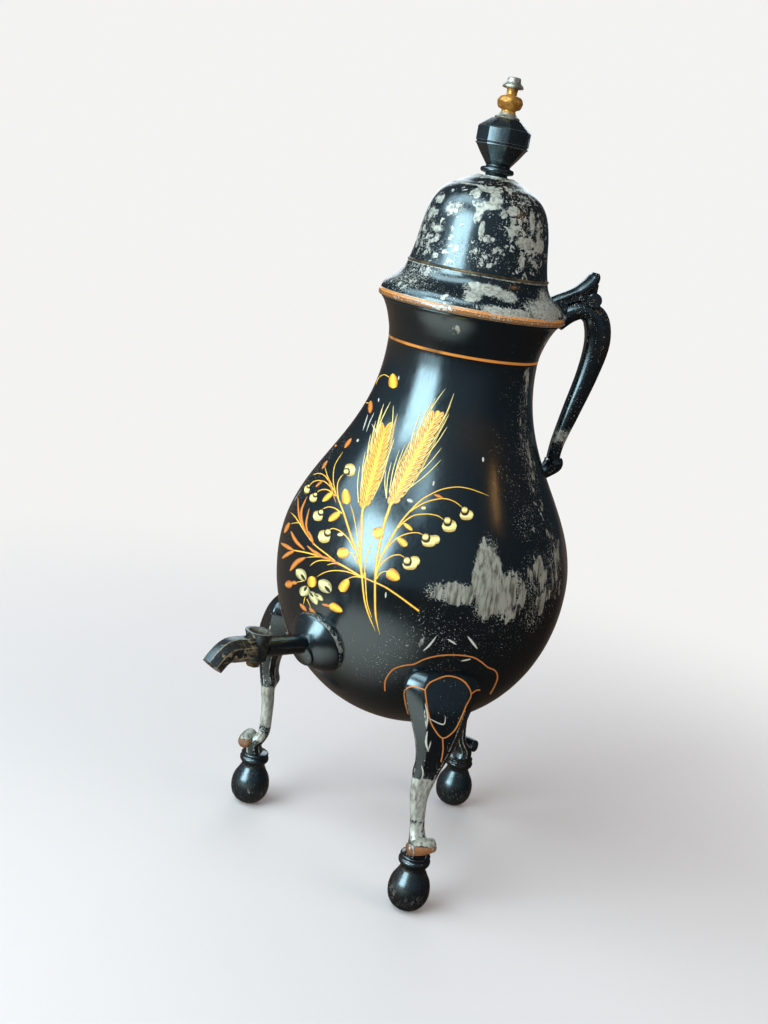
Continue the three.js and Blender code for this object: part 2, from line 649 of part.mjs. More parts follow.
function finial(parent, { stepTop, innerTop }) {
  const studHole = studRadius + seam;
  const stacked = [
    ['finial_spool', spoolShares, spoolRadius, spoolHeight, ringSides, 'blackLacquer'],
    ['finial_knob', knobShares, knobRadius, knobHeight, knobSides, 'blackWood'],
    ['finial_ferrule', ferruleShares, ferruleRadius, ferruleHeight, ringSides, 'barePewter'],
    ['finial_bead', beadShares, beadRadius, beadHeight, ringSides, 'gildedBrass'],
  ];
  let base = stepTop + seam;
  stacked.forEach(([name, shares, radius, height, sides, finish]) => {
    const outline = scaled(shares, radius, height, base);
    const top = base + height;
    const turn = sides === knobSides ? THREE.MathUtils.degToRad(knobTurn) : 0;
    const piece = turned([[studHole, base], ...outline, [studHole, top]], sides).rotateZ(turn);
    place(parent, name, solidOf(piece), finish);
    base = top + seam;
  });

  const socketTop = base + capSocketShare * capHeight;
  const capOutline = scaled(capShares, capRadius, capHeight, base);
  const cap = turned([
    [0, socketTop], [studHole, socketTop], [studHole, base], ...capOutline,
  ], ringSides);
  place(parent, 'finial_cap', solidOf(cap), 'barePewter');

  const stud = rod(studRadius, innerTop - studBelow, socketTop - seam, pinSides);
  place(parent, 'finial_stud', solidOf(stud), 'barePewter');
  const nutTop = innerTop - seam;
  const nut = tube(studHole, studNutRadius, nutTop - studNutHeight, nutTop, nutSides);
  place(parent, 'finial_nut', solidOf(nut), 'barePewter');
}

// Thumbpiece, with the strap that is soldered to the lid and the middle knuckle of the hinge
function thumbpiece(parent) {
  const group = turnedGroup(parent, handleDirection);
  const stations = thumbStationShares.map(([reach, rise, depth, width]) => [
    reach * hingeReach,
    hingeAt + rise * thumbHeight,
    depth * thumbDepth,
    width * thumbWidth,
  ]);
  const half = knuckleWidth / 2;
  const lugOuter = half + hingeRunning + lugWidth + overrun;
  const knuckle = solidOf(atHinge(rod(knuckleRadius, -half, half, ringSides)));
  const web = new THREE.BoxGeometry(knuckleWidth, webDepth, webHeight)
    .translate(0, -hingeReach + webDepth / 2 - knuckleRadius / 2, hingeAt + webHeight / 2);
  const lugRoom = (from, to) =>
    solidOf(atHinge(rod(knuckleRadius + 2 * hingeRunning, from, to, ringSides)));
  const pinHole = solidOf(atHinge(rod(pinRadius + hingeRunning, -lugOuter, lugOuter, pinSides)));
  const lidOutline = moved([
    [flangeRadius - overrun, lidSeat - overrun], ...flangeOutline, ...domeOutline,
  ], seam);
  const lidLump = solidOf(turned([
    [0, lidSeat - overrun], ...lidOutline, [0, domeTop + stepHeight],
  ], lidSides));
  const piece = solidOf(lofted(ringsAlong(stations, gripSectionShares)))
    .add(solidOf(web)).subtract(lugRoom(half, lugOuter)).subtract(lugRoom(-lugOuter, -half))
    .add(knuckle).subtract(pinHole).subtract(lidLump);
  place(group, 'thumbpiece', piece, 'blackLacquer');
}

const urn = new THREE.Group();
bodyShells(urn);
legs(urn);
tap(urn);
handle(urn);
finial(urn, lidShells(urn));
thumbpiece(urn);

// The origin goes under the middle of the box round the whole urn
urn.updateMatrixWorld(true);
const middle = new THREE.Box3().setFromObject(urn, true).getCenter(new THREE.Vector3());
urn.position.set(-middle.x, -middle.y, 0);

const coffeeUrn = new THREE.Group();
coffeeUrn.add(urn);

export default coffeeUrn;
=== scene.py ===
# %% [markdown]
# # A lacquered pewter coffee urn
# The urn is a pear-shaped pewter pot on three legs, with a tap low on its front, a scroll
# handle and a hinged lid. It wears black lacquer with painted flowers, and the lacquer has
# flaked off in places. The measured model gives every piece its place, and this script
# makes the smooth surfaces, the painting and the wear. All outlines below are in
# millimetres, as on a turner's drawing, and become metres at the last step.

# %% Load the measured model
import json
import math

import bmesh
import bpy
from mathutils import Matrix, Vector
from mathutils.bvhtree import BVHTree
from mathutils.geometry import interpolate_bezier


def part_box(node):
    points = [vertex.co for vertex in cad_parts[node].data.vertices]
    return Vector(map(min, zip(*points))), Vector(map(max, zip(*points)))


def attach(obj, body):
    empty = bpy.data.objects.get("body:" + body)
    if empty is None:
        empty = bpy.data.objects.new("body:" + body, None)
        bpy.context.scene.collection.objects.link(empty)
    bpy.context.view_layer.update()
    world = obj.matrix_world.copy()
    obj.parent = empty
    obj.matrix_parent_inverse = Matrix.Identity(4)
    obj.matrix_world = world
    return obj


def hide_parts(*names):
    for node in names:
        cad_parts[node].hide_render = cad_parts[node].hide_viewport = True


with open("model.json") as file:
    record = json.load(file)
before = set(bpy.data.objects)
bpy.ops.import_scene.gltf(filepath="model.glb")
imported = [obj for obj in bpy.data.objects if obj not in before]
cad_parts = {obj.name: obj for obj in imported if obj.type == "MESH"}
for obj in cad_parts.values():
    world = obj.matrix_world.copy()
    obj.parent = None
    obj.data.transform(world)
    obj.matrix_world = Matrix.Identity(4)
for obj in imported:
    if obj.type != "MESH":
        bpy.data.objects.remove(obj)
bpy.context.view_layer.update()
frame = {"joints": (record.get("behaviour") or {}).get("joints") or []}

MM = 0.001
low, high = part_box("upper_body")
AXIS = Vector(((low[0] + high[0]) / 2, (low[1] + high[1]) / 2, 0))
JOINT = {joint["name"]: joint for joint in frame["joints"]}
print("turning axis of the urn stands at", tuple(round(v, 4) for v in AXIS))

# %% [markdown]
# ## The camera
# The photograph looks down a little from in front and to the right of the tap, and it is
# held askew, so the urn leans to the right in it. The camera's own axes are written out
# from these angles: a level one to the right, one ahead and one up, tipped and then
# rolled.

# %% Camera
CAMERA_DISTANCE, CAMERA_HEIGHT = 740.3, 385.7
CAMERA_DIRECTION = 38.5     # degrees round the urn, from the tap towards +X
CAMERA_AIM = -2.11          # turned a little off the urn's axis
CAMERA_DIP, CAMERA_ROLL = 13.93, 10.29
PHOTO_WIDTH, PHOTO_HEIGHT, PHOTO_FOCUS = 768, 1024, 1319   # pixels


def towards(direction):
    """Level unit vector, in degrees round the urn from the tap towards +X."""
    angle = math.radians(direction)
    return Vector((math.sin(angle), -math.cos(angle), 0))


def shown(name, data):
    """A new object in the scene."""
    thing = bpy.data.objects.new(name, data)
    bpy.context.collection.objects.link(thing)
    return thing


camera_at = AXIS + towards(CAMERA_DIRECTION) * CAMERA_DISTANCE * MM
camera_at.z = CAMERA_HEIGHT * MM
ahead = -towards(CAMERA_DIRECTION - CAMERA_AIM)
level_right = Vector((ahead.y, -ahead.x, 0))
dip, roll = math.radians(CAMERA_DIP), math.radians(CAMERA_ROLL)
view_ahead = ahead * math.cos(dip) - Vector((0, 0, math.sin(dip)))
view_up = ahead * math.sin(dip) + Vector((0, 0, math.cos(dip)))
camera_right = level_right * math.cos(roll) + view_up * math.sin(roll)
camera_up = view_up * math.cos(roll) - level_right * math.sin(roll)

lens = bpy.data.cameras.new("camera")
lens.sensor_width = 36
lens.lens = PHOTO_FOCUS * lens.sensor_width / PHOTO_HEIGHT
lens.clip_start = 0.01
camera = shown("camera", lens)
facing = Matrix((camera_right, camera_up, -view_ahead)).transposed().to_4x4()
camera.matrix_world = Matrix.Translation(camera_at) @ facing
bpy.context.scene.camera = camera
print("lens", round(lens.lens, 2), "mm, camera at", tuple(round(v, 3) for v in camera_at))

# %% [markdown]
# ## Helpers for turned and cast pieces
# Most of the urn is turned on a lathe, so its pieces are outlines spun round an axis. The
# legs, the handle and the thumbpiece are cast, and each is one ring of corners that is
# extruded from station to station. A curve that runs smoothly through given points
# serves both.

# %% Curves through given points
def flowing(points, steps=6):
    """A smooth curve through the points, of any number of values each."""
    rows = [tuple(point) for point in points]
    curve = []
    for i in range(len(rows) - 1):
        before, start, end = rows[max(i - 1, 0)], rows[i], rows[i + 1]
        after = rows[min(i + 2, len(rows) - 1)]
        for step in range(steps):
            t = step / steps
            curve.append(tuple(
                b + t * ((c - a) / 2 + t * (a - 2.5 * b + 2 * c - d / 2 + t * (1.5 * b - a / 2 - 1.5 * c + d / 2)))
                for a, b, c, d in zip(before, start, end, after)
            ))
    return curve + [rows[-1]]


def bezier(start, pull_out, pull_in, end, steps):
    knots = [Vector((*point, 0)) for point in (start, pull_out, pull_in, end)]
    return [(point.x, point.y) for point in interpolate_bezier(*knots, steps)]


def turning(shares, steps, radius, tall, base=0, hole=0):
    """The outline of a bored piece, curved through shares of its radius and height."""
    curve = flowing([(across * radius, base + up * tall) for across, up in shares], steps)
    return [(hole, base)] + curve + [(hole, base + tall)]


def neighbours(rows, i):
    """The rows before and after one, or the row itself at an end."""
    return rows[max(i - 1, 0)], rows[min(i + 1, len(rows) - 1)]

# %% Spinning and lofting
def facing_out(bm):
    bmesh.ops.recalc_face_normals(bm, faces=bm.faces)
    if bm.calc_volume(signed=True) < 0:
        bmesh.ops.reverse_faces(bm, faces=bm.faces)
    return bm


def spun(outline, steps=96, worn=()):
    """A solid turned round Z. An outline that starts off the axis closes on itself. The
    turns of the outline that are named as worn get 1 in the ridge attribute."""
    bm = bmesh.new()
    ridge = bm.verts.layers.float.new("ridge")
    points = [bm.verts.new((radius * MM, 0, height * MM)) for radius, height in outline]
    for turn in worn:
        points[turn][ridge] = 1.0
    for a, b in zip(points, points[1:]):
        bm.edges.new((a, b))
    if outline[0][0] > 0:
        bm.edges.new((points[-1], points[0]))
    bmesh.ops.spin(
        bm, geom=bm.verts[:] + bm.edges[:], cent=(0, 0, 0), axis=(0, 0, 1),
        angle=math.tau, steps=steps, use_merge=True,
    )
    bmesh.ops.remove_doubles(bm, verts=bm.verts, dist=0.001 * MM)
    return facing_out(bm)


def grown(bm, row, edges, places):
    """The row of corners and its edges, extruded one station further."""
    parts = bmesh.ops.extrude_edge_only(bm, edges=edges)["geom"]
    fresh = {part for part in parts if isinstance(part, bmesh.types.BMVert)}
    row = [next(e.other_vert(v) for e in v.link_edges if e.other_vert(v) in fresh) for v in row]
    for vert, place in zip(row, places):
        vert.co = place
    return row, [part for part in parts if isinstance(part, bmesh.types.BMEdge) and set(part.verts) <= fresh]


def rounded(bm, edges, size, segments):
    """Bevel the edges, and give the faces that this makes."""
    return set(bmesh.ops.bevel(
        bm, geom=edges, offset=size * MM, offset_type="OFFSET", affect="EDGES",
        segments=segments, profile=0.5, material=-1, clamp_overlap=True,
    )["faces"])


def lofted(rings, ridge_round):
    """One ring of corners, extruded from station to station, with its ridges bevelled.
    The middle rows of each bevel get 1 in the ridge attribute."""
    bm = bmesh.new()
    ridge = bm.verts.layers.float.new("ridge")
    row = [bm.verts.new(point) for point in rings[0]]
    edges = [bm.edges.new(pair) for pair in zip(row, row[1:] + row[:1])]
    for ring in rings[1:]:
        row, edges = grown(bm, row, edges, ring)
    bmesh.ops.holes_fill(bm, edges=[e for e in bm.edges if e.is_boundary], sides=0)
    facing_out(bm)
    bm.verts.index_update()
    ridges = [e for e in bm.edges if abs(e.verts[0].index - e.verts[1].index) >= len(rings[0])]
    bevels = rounded(bm, ridges, ridge_round, 3)
    for vert in bm.verts:
        vert[ridge] = 1.0 if bevels.issuperset(vert.link_faces) else 0.0
    return bm


def prism(sides, outline, ridge_round, turn=0):
    """An upright piece with flat sides, from the radius and height of each turning."""
    return lofted([
        [towards(turn + 360 / sides * i) * radius * MM + Vector((0, 0, height * MM)) for i in range(sides)]
        for radius, height in outline
    ], ridge_round)


def moved(across, along, up):
    return Matrix.Translation(Vector((across, along, up)) * MM)


def rotated(degrees, axis):
    return Matrix.Rotation(math.radians(degrees), 4, axis)


def block(size, centre, edge):
    """A box with rounded edges."""
    bm = bmesh.new()
    bmesh.ops.create_cube(bm, size=1, matrix=moved(*centre) @ Matrix.Diagonal(Vector(size) * MM).to_4x4())
    rounded(bm, bm.edges[:], edge, 2)
    return bm

# %% [markdown]
# ## Shader helpers
# Small functions keep the node trees readable. `add` makes a node and wires its inputs,
# others make the nodes that are used most, and `shader_group` starts a group with named
# inputs and outputs.

# %% Node wiring
def feed(tree, socket, value):
    if isinstance(value, bpy.types.NodeSocket):
        tree.links.new(value, socket)
    else:
        socket.default_value = value


def add(tree, kind, feeds=None, **settings):
    """A shader node with its settings, its inputs set or linked."""
    node = tree.nodes.new("ShaderNode" + kind)
    for key, value in settings.items():
        setattr(node, key, value)
    for key, value in (feeds or {}).items():
        feed(tree, node.inputs[key], value)
    return node


def use(tree, group, feeds=None):
    return add(tree, "Group", feeds, node_tree=group).outputs


def sums(tree, operation, *values):
    """The output of a Math node on one, two or three values."""
    return add(tree, "Math", dict(enumerate(values)), operation=operation).outputs[0]


def vectors(tree, operation, *values):
    """The output of a Vector Math node, a number where the operation gives one."""
    outputs = add(tree, "VectorMath", dict(enumerate(values)), operation=operation).outputs
    return outputs["Value" if operation in ("DOT_PRODUCT", "LENGTH") else "Vector"]


def squares(tree, *values):
    """The sum of two squares."""
    return sums(tree, "ADD", *(sums(tree, "MULTIPLY", value, value) for value in values))


def share(tree, value, middle, half):
    """How far a value is from a middle, in halves of a width."""
    return sums(tree, "DIVIDE", sums(tree, "SUBTRACT", value, middle), half)


def ramped(tree, value, low_end, high_end, to_low=0.0, to_high=1.0):
    feeds = {"Value": value, 1: low_end, 2: high_end, 3: to_low, 4: to_high}
    return add(tree, "MapRange", feeds, interpolation_type="SMOOTHSTEP").outputs[0]


def between(tree, factor, first, second):
    """The number between two numbers."""
    return add(tree, "Mix", {0: factor, 2: first, 3: second}).outputs[0]


def mixed(tree, factor, first, second):
    """The colour between two colours."""
    return add(tree, "Mix", {0: factor, 6: first, 7: second}, data_type="RGBA").outputs[2]


def noise(tree, place, scale, detail, roughness=0.5, output=0):
    feeds = {"Vector": place, "Scale": scale, "Detail": detail, "Roughness": roughness}
    return add(tree, "TexNoise", feeds).outputs[output]


def raised(tree, height, distance, strength):
    return add(tree, "Bump", {"Height": height, "Distance": distance, "Strength": strength}).outputs[0]


def shader_group(name, inputs, outputs):
    """A new node group, with its input and output nodes. Inputs are (name, kind, value)."""
    tree = bpy.data.node_groups.new(name, "ShaderNodeTree")
    for label, kind, value in inputs:
        socket = tree.interface.new_socket(label, in_out="INPUT", socket_type="NodeSocket" + kind)
        if value is not None:
            socket.default_value = value
    for label, kind in outputs:
        tree.interface.new_socket(label, in_out="OUTPUT", socket_type="NodeSocket" + kind)
    return tree, tree.nodes.new("NodeGroupInput").outputs, tree.nodes.new("NodeGroupOutput").inputs


def new_material(name):
    material = bpy.data.materials.new(name)
    material.use_nodes = True
    return material, material.node_tree


def set_shader(tree, feeds):
    """Set or link the inputs of the material's own shader."""
    for key, value in feeds.items():
        feed(tree, tree.nodes["Principled BSDF"].inputs[key], value)

# %% [markdown]
# ## Places on a turned surface
# Lines and bare patches sit at a height and at a direction round the urn. One group turns
# a point into these two numbers, and a second draws a soft patch around a chosen place.

# %% Groups for places
round_urn, given, result = shader_group(
    "round_the_urn", [], [("Direction", "Float"), ("Height", "Float"), ("Position", "Vector")],
)
off_axis = vectors(round_urn, "SUBTRACT", add(round_urn, "TexCoord").outputs["Object"], AXIS)
right, back, up = add(round_urn, "SeparateXYZ", {0: off_axis}).outputs
angle = sums(round_urn, "ARCTAN2", right, sums(round_urn, "MULTIPLY", back, -1.0))
round_urn.links.new(sums(round_urn, "DEGREES", angle), result["Direction"])
round_urn.links.new(sums(round_urn, "MULTIPLY", up, 1 / MM), result["Height"])
round_urn.links.new(off_axis, result["Position"])

patch, given, result = shader_group(
    "patch", [
        ("Direction", "Float", 0.0), ("Height", "Float", 0.0), ("At direction", "Float", 0.0),
        ("At height", "Float", 0.0), ("Half width", "Float", 20.0), ("Half height", "Float", 20.0),
    ], [("Mask", "Float")],
)
sideways = sums(patch, "WRAP", sums(patch, "SUBTRACT", given["Direction"], given["At direction"]), 180.0, -180.0)
sideways = sums(patch, "DIVIDE", sideways, given["Half width"])
upwards = share(patch, given["Height"], given["At height"], given["Half height"])
patch.links.new(ramped(patch, squares(patch, sideways, upwards), 1.35, 0.05), result["Mask"])
print("groups for places:", round_urn.name, "and", patch.name)

# %% [markdown]
# ## Flaked lacquer
# Old lacquer does not fade away: it lifts in small angular flakes with crisp edges, in
# clusters, and leaves fine flecks between them. Random cells give the angular flakes, a
# noise gives ragged patches, and a finer noise gives the flecks. How much is gone is an
# input, so that the lid can be worn more than the body.

# %% Group for flaked lacquer
CRUMBLE = 0.0017          # how far the edges of the flakes wander, in metres
FLECK_EDGE = (0.74, 0.76)
flaking, given, result = shader_group(
    "flaked_lacquer", [
        ("Position", "Vector", None), ("Worn", "Float", 0.2), ("Patch", "Float", 0.0),
        ("Flakes per metre", "Float", 160.0), ("Flecks", "Float", 0.3), ("Drag", "Vector", (1, 1, 1)),
        ("Tears per metre", "Float", 210.0), ("Angular", "Float", 0.14),
    ], [("Bare", "Float"), ("Tarnish", "Float")],
)
# angular flakes, in clusters
shaken = vectors(flaking, "SUBTRACT", noise(flaking, given["Position"], 480.0, 4.0, output=1), (0.5, 0.5, 0.5))
ragged = vectors(flaking, "ADD", given["Position"], vectors(flaking, "MULTIPLY", shaken, (CRUMBLE,) * 3))
cells = add(flaking, "TexVoronoi", {"Vector": ragged, "Scale": given["Flakes per metre"]}, distance="CHEBYCHEV")
cell_value = add(flaking, "SeparateColor", {0: cells.outputs["Color"]}).outputs[0]
clusters = noise(flaking, given["Position"], 44.0, 4.0, 0.55)
reach = sums(flaking, "ADD", sums(flaking, "MULTIPLY_ADD", clusters, 3.4, -1.85), given["Worn"])
reach = sums(flaking, "MULTIPLY_ADD", given["Patch"], 0.4, reach)
flakes = ramped(flaking, sums(flaking, "SUBTRACT", reach, cell_value), -0.015, 0.015)
# ragged patches where a patch is asked for
drawn_out = vectors(flaking, "MULTIPLY", given["Position"], given["Drag"])
torn = noise(flaking, drawn_out, given["Tears per metre"], 7.0, 0.62)
torn = sums(flaking, "MULTIPLY_ADD", sums(flaking, "SUBTRACT", cell_value, 0.5), given["Angular"], torn)
torn = sums(flaking, "MULTIPLY_ADD", torn, 2.4, -2.15)
torn_patch = ramped(flaking, sums(flaking, "ADD", given["Patch"], torn), -0.03, 0.03)
# fine flecks, more of them near a patch and in a cluster
fleck_level = noise(flaking, given["Position"], 1150.0, 2.0, 0.6)
for amount, weight in ((given["Patch"], 0.2), (given["Flecks"], 0.16), (reach, 0.07)):
    fleck_level = sums(flaking, "MULTIPLY_ADD", amount, weight, fleck_level)
in_clusters = ramped(flaking, clusters, 0.3, 0.7, 0.3, 0.95)
flecks = sums(flaking, "MULTIPLY", ramped(flaking, fleck_level, *FLECK_EDGE), in_clusters)
flaking.links.new(sums(flaking, "MAXIMUM", sums(flaking, "MAXIMUM", flakes, torn_patch), flecks), result["Bare"])
flaking.links.new(noise(flaking, drawn_out, 520.0, 5.0, 0.55), result["Tarnish"])
print("node groups:", [group.name for group in bpy.data.node_groups])

# %% [markdown]
# ## Finishes
# The lacquer is almost black, half gloss, a little brown where it is thin, with fine
# handling scratches that only show in its gloss. Where it is gone, dull grey pewter
# shows, slightly lower than the lacquer, so the edge of each flake catches the light.

# %% Lacquer
LACQUER, THIN_LACQUER = (0.0035, 0.0055, 0.0075, 1), (0.013, 0.008, 0.005, 1)
# what shows below the lacquer: stained, and clean
PEWTERS = ((0.14, 0.125, 0.09, 1), (0.48, 0.46, 0.38, 1))
PALE_PEWTERS = ((0.27, 0.255, 0.205, 1), (0.60, 0.60, 0.52, 1))
BRASSES = ((0.08, 0.065, 0.045, 1), (0.38, 0.28, 0.15, 1))
BARE_WOODS = ((0.07, 0.06, 0.05, 1), (0.24, 0.225, 0.20, 1))
BARE_ROUGHNESS, BARE_METALLIC, GLOSS_SPREAD = 0.52, 0.45, 0.22
FACES_INWARDS = -0.00001    # outward place times normal is less than this on an inside


def lacquered(name, worn, flecks, flakes_per_metre=300.0, patches=(), lines=(), drag=(1, 1, 1), gloss=0.22,
              ridges=0.5, tears_per_metre=210.0, angular=0.14, bare_metal=PEWTERS, lined=False):
    """Lacquer over metal or wood. A lined piece is bare on its inside. Patches are
    (direction, height, half width, half height, strength) and lines are (height, half
    height, colour, strength)."""
    material, tree = new_material(name)
    place = use(tree, round_urn)
    amount = sums(tree, "MULTIPLY", add(tree, "Attribute", attribute_name="ridge").outputs["Fac"], ridges)
    for direction, height, half_width, half_height, strength in patches:
        mask = use(tree, patch, {
            "Direction": place["Direction"], "Height": place["Height"], "At direction": direction,
            "At height": height, "Half width": half_width, "Half height": half_height,
        })["Mask"]
        amount = sums(tree, "MAXIMUM", amount, sums(tree, "MULTIPLY", mask, strength))
    wear = use(tree, flaking, {
        "Position": place["Position"], "Worn": worn, "Patch": amount, "Flecks": flecks,
        "Flakes per metre": flakes_per_metre, "Drag": drag, "Tears per metre": tears_per_metre, "Angular": angular,
    })
    bare = wear["Bare"]
    if lined:
        outwards = vectors(tree, "MULTIPLY", place["Position"], (1, 1, 0))
        facing = vectors(tree, "DOT_PRODUCT", outwards, add(tree, "TexCoord").outputs["Normal"])
        bare = sums(tree, "MAXIMUM", bare, sums(tree, "LESS_THAN", facing, FACES_INWARDS))
    cloud = noise(tree, place["Position"], 22.0, 4.0)
    coat = mixed(tree, ramped(tree, cloud, 0.5, 0.75), LACQUER, THIN_LACQUER)
    for height, half, colour, strength in lines:
        distance = sums(tree, "ABSOLUTE", sums(tree, "SUBTRACT", place["Height"], height))
        line = sums(tree, "MULTIPLY", ramped(tree, distance, half, half * 0.7), strength)
        coat = mixed(tree, sums(tree, "MULTIPLY", line, ramped(tree, cloud, 0.72, 0.55)), coat, colour)
    along = add(tree, "Mapping", {"Vector": place["Position"], "Scale": (1, 1, 0.2), "Rotation": (0.4, 0.3, 0)})
    scratches = noise(tree, along.outputs[0], 700.0, 3.0)
    sheen = sums(tree, "MULTIPLY_ADD", scratches, GLOSS_SPREAD, gloss - GLOSS_SPREAD / 2)
    depth = sums(tree, "MULTIPLY_ADD", bare, -1.0, sums(tree, "MULTIPLY", scratches, 0.05))
    set_shader(tree, {
        "Base Color": mixed(tree, bare, coat, mixed(tree, ramped(tree, wear["Tarnish"], 0.33, 0.6), *bare_metal)),
        "Roughness": between(tree, bare, sheen, BARE_ROUGHNESS),
        "Metallic": sums(tree, "MULTIPLY", bare, BARE_METALLIC),
        "Normal": raised(tree, depth, 0.00012, 0.7),
        "IOR": 1.7,
        "Specular IOR Level": 0.85,
        # painted reflection colour: the window light's cyan is tinted into every reflection of the lacquer
        "Specular Tint": (0.72, 0.93, 1.0, 1),
    })
    return material


def metal(name, colour, dull, roughness, metallic, grain=320.0):
    """A dull metal with darker tarnish in its low places and a fine grain in its gloss."""
    material, tree = new_material(name)
    place = use(tree, round_urn)["Position"]
    tarnish = noise(tree, place, grain / 2, 6.0, 0.65)
    set_shader(tree, {
        "Base Color": mixed(tree, ramped(tree, tarnish, 0.42, 0.6), dull, colour),
        "Roughness": sums(tree, "MULTIPLY_ADD", noise(tree, place, grain * 4, 2.0), 0.3, roughness - 0.15),
        "Metallic": metallic,
        "Normal": raised(tree, tarnish, 0.0001, 0.2),
    })
    return material

# %% Each piece's own finish
ALL_ROUND = 400    # so wide a patch that it has no ends
PAINT_ORANGE, PAINT_GOLD, PAINT_BROWN = (0.72, 0.25, 0.035, 1), (0.66, 0.47, 0.25, 1), (0.32, 0.125, 0.03, 1)
RUBBED_LINE = (0.10, 0.10, 0.09, 1)
TOE_BROWN = (0.34, 0.14, 0.052, 1)
CHIPPED = 1.6    # gone but for a ragged edge
body_lacquer = lacquered(
    "body_lacquer", worn=-0.75, flecks=0.22, flakes_per_metre=160.0, drag=(1, 1, 0.2), gloss=0.2, lined=True,
    patches=(
        (53, 186, 14, 8, 1.25), (64, 194, 7.5, 27, 1.45), (74, 186, 12, 18, 1.15), (89, 188, 14, 28, 0.93),
        (103, 198, 10, 32, 0.86), (99, 265, 11, 60, 0.8), (80, 262, 14, 55, 0.45), (56, 162, 36, 20, 0.5),
        (25, 140, 60, 20, 0.4), (90, 222, 16, 14, 0.7), (235, 190, 26, 30, 1.05), (280, 250, 30, 50, 0.75),
        (160, 170, 40, 40, 0.6), (318, 215, 26, 40, 0.55), (31, 317, 5, 4.5, 0.9), (116, 314, 9, 9, 0.85),
    ),
    lines=((303.5, 0.85, PAINT_ORANGE, 0.95),),
)
DOME_CHIPS = [
    (-23, 381.5, 11, 3.6), (-25, 373.5, 9, 4.4), (4, 377.5, 14, 5), (20, 387.3, 7, 3), (35, 390.3, 15, 1.7),
    (44, 386, 8, 3.8), (36, 382, 18, 2.1), (29, 377.5, 4.5, 5.5), (35, 369.5, 3.2, 5.5), (41, 365.2, 8.5, 2.2),
    (52, 379, 5, 2.4), (62, 381.5, 9, 3.2), (84, 378, 4, 9), (93, 373, 4, 8), (76, 366.5, 13, 3.6), (62, 371, 3.5, 6),
    (75, 357, 4, 4), (-7, 366, 9, 2.8), (97, 366.5, 9, 5), (170, 372, 24, 8), (215, 384, 18, 5), (300, 368, 16, 7),
]
lid_lacquer = lacquered(
    "lid_lacquer", worn=-0.15, flecks=0.5, flakes_per_metre=360.0, tears_per_metre=420.0, angular=0.75,
    bare_metal=PALE_PEWTERS, lined=True,
    patches=[(*chip, 1.12) for chip in DOME_CHIPS] + [
        (-35, 364, 44, 18, 0.5), (15, 357, 60, 9, 0.4), (80, 372, 34, 24, 0.35), (200, 366, 60, 22, 0.5),
        (-30, 391.4, 60, 0.7, 1.2), (0, 396.9, ALL_ROUND, 1.2, 1.15),
    ],
)
flange_lacquer = lacquered(
    "flange_lacquer", worn=-0.12, flecks=0.62, flakes_per_metre=340.0, drag=(1, 1, 1.8), tears_per_metre=330.0,
    angular=0.35, bare_metal=PALE_PEWTERS, lined=True,
    patches=(
        (46, 340, 18, 3.4, CHIPPED), (38, 336.5, 7, 4.4, 1.3), (62, 338.5, 10, 3.4, 1.25), (62, 331, 26, 2.6, 1.2),
        (96, 334, 26, 6, 1.2), (106, 338.5, 14, 7, 1.0), (-20, 338, 38, 9, 0.5), (2, 343.5, 26, 5, 0.55),
        (0, 346.4, ALL_ROUND, 0.7, 1.0), (0, 327.5, ALL_ROUND, 1.6, 0.35), (150, 336, 40, 6, 0.9),
        (250, 335, 34, 7, 1.1),
    ),
    lines=((326.9, 0.9, PAINT_BROWN, 0.95), (328.5, 0.75, PAINT_ORANGE, 0.95), (329.4, 0.25, PAINT_GOLD, 0.8),
           (325.6, 0.2, PAINT_GOLD, 0.7)),
)
leg_lacquer = lacquered(
    "leg_lacquer", worn=-0.5, flecks=0.42, drag=(1, 1, 0.4),
    patches=((0, 66, 152, 17, 2.1), (0, 66, 152, 26, 0.75), (0, 47, 152, 7, 1.2)), ridges=0.85,
    bare_metal=PALE_PEWTERS,
)
toe_lacquer = lacquered(
    "toe_lacquer", worn=-0.3, flecks=0.6, ridges=1.15,
    patches=((0, 46, ALL_ROUND, 3.2, 1.5),), lines=((40.2, 3.4, TOE_BROWN, 0.9),),
)
fitting_lacquer = lacquered("fitting_lacquer", worn=-0.5, flecks=0.3, ridges=0.95)
handle_lacquer = lacquered(
    "handle_lacquer", worn=-0.45, flecks=0.32, flakes_per_metre=260.0, ridges=0.5,
    patches=((139, 262, 6, 9, 1.1), (139, 336, 8, 10, 0.55)),
)
tap_lacquer, worn_tap = [
    lacquered(name, worn, flecks, flakes_per_metre=420.0, ridges=1.1, gloss=0.34, bare_metal=BRASSES)
    for name, worn, flecks in (("tap_lacquer", 0.0, 0.7), ("worn_tap", 0.3, 0.8))
]
black_wood = lacquered(
    "black_wood", worn=-0.62, flecks=0.3, flakes_per_metre=320.0, gloss=0.28, ridges=0.2, bare_metal=BARE_WOODS,
    patches=((0, 10, ALL_ROUND, 8, 0.62), (0, 24, ALL_ROUND, 4, 0.5)),
    lines=((413.8, 0.22, RUBBED_LINE, 0.6), (415.3, 0.18, RUBBED_LINE, 0.5), (422.8, 0.25, RUBBED_LINE, 0.35)),
)
bare_pewter = metal("bare_pewter", (0.52, 0.51, 0.43, 1), (0.19, 0.18, 0.145, 1), 0.45, 0.75)
old_brass = metal("old_brass", (0.25, 0.18, 0.09, 1), (0.07, 0.055, 0.036, 1), 0.4, 0.75)
gilding = metal("gilding", (0.64, 0.33, 0.065, 1), (0.36, 0.155, 0.03, 1), 0.3, 0.55)
print("finishes:", [material.name for material in bpy.data.materials])
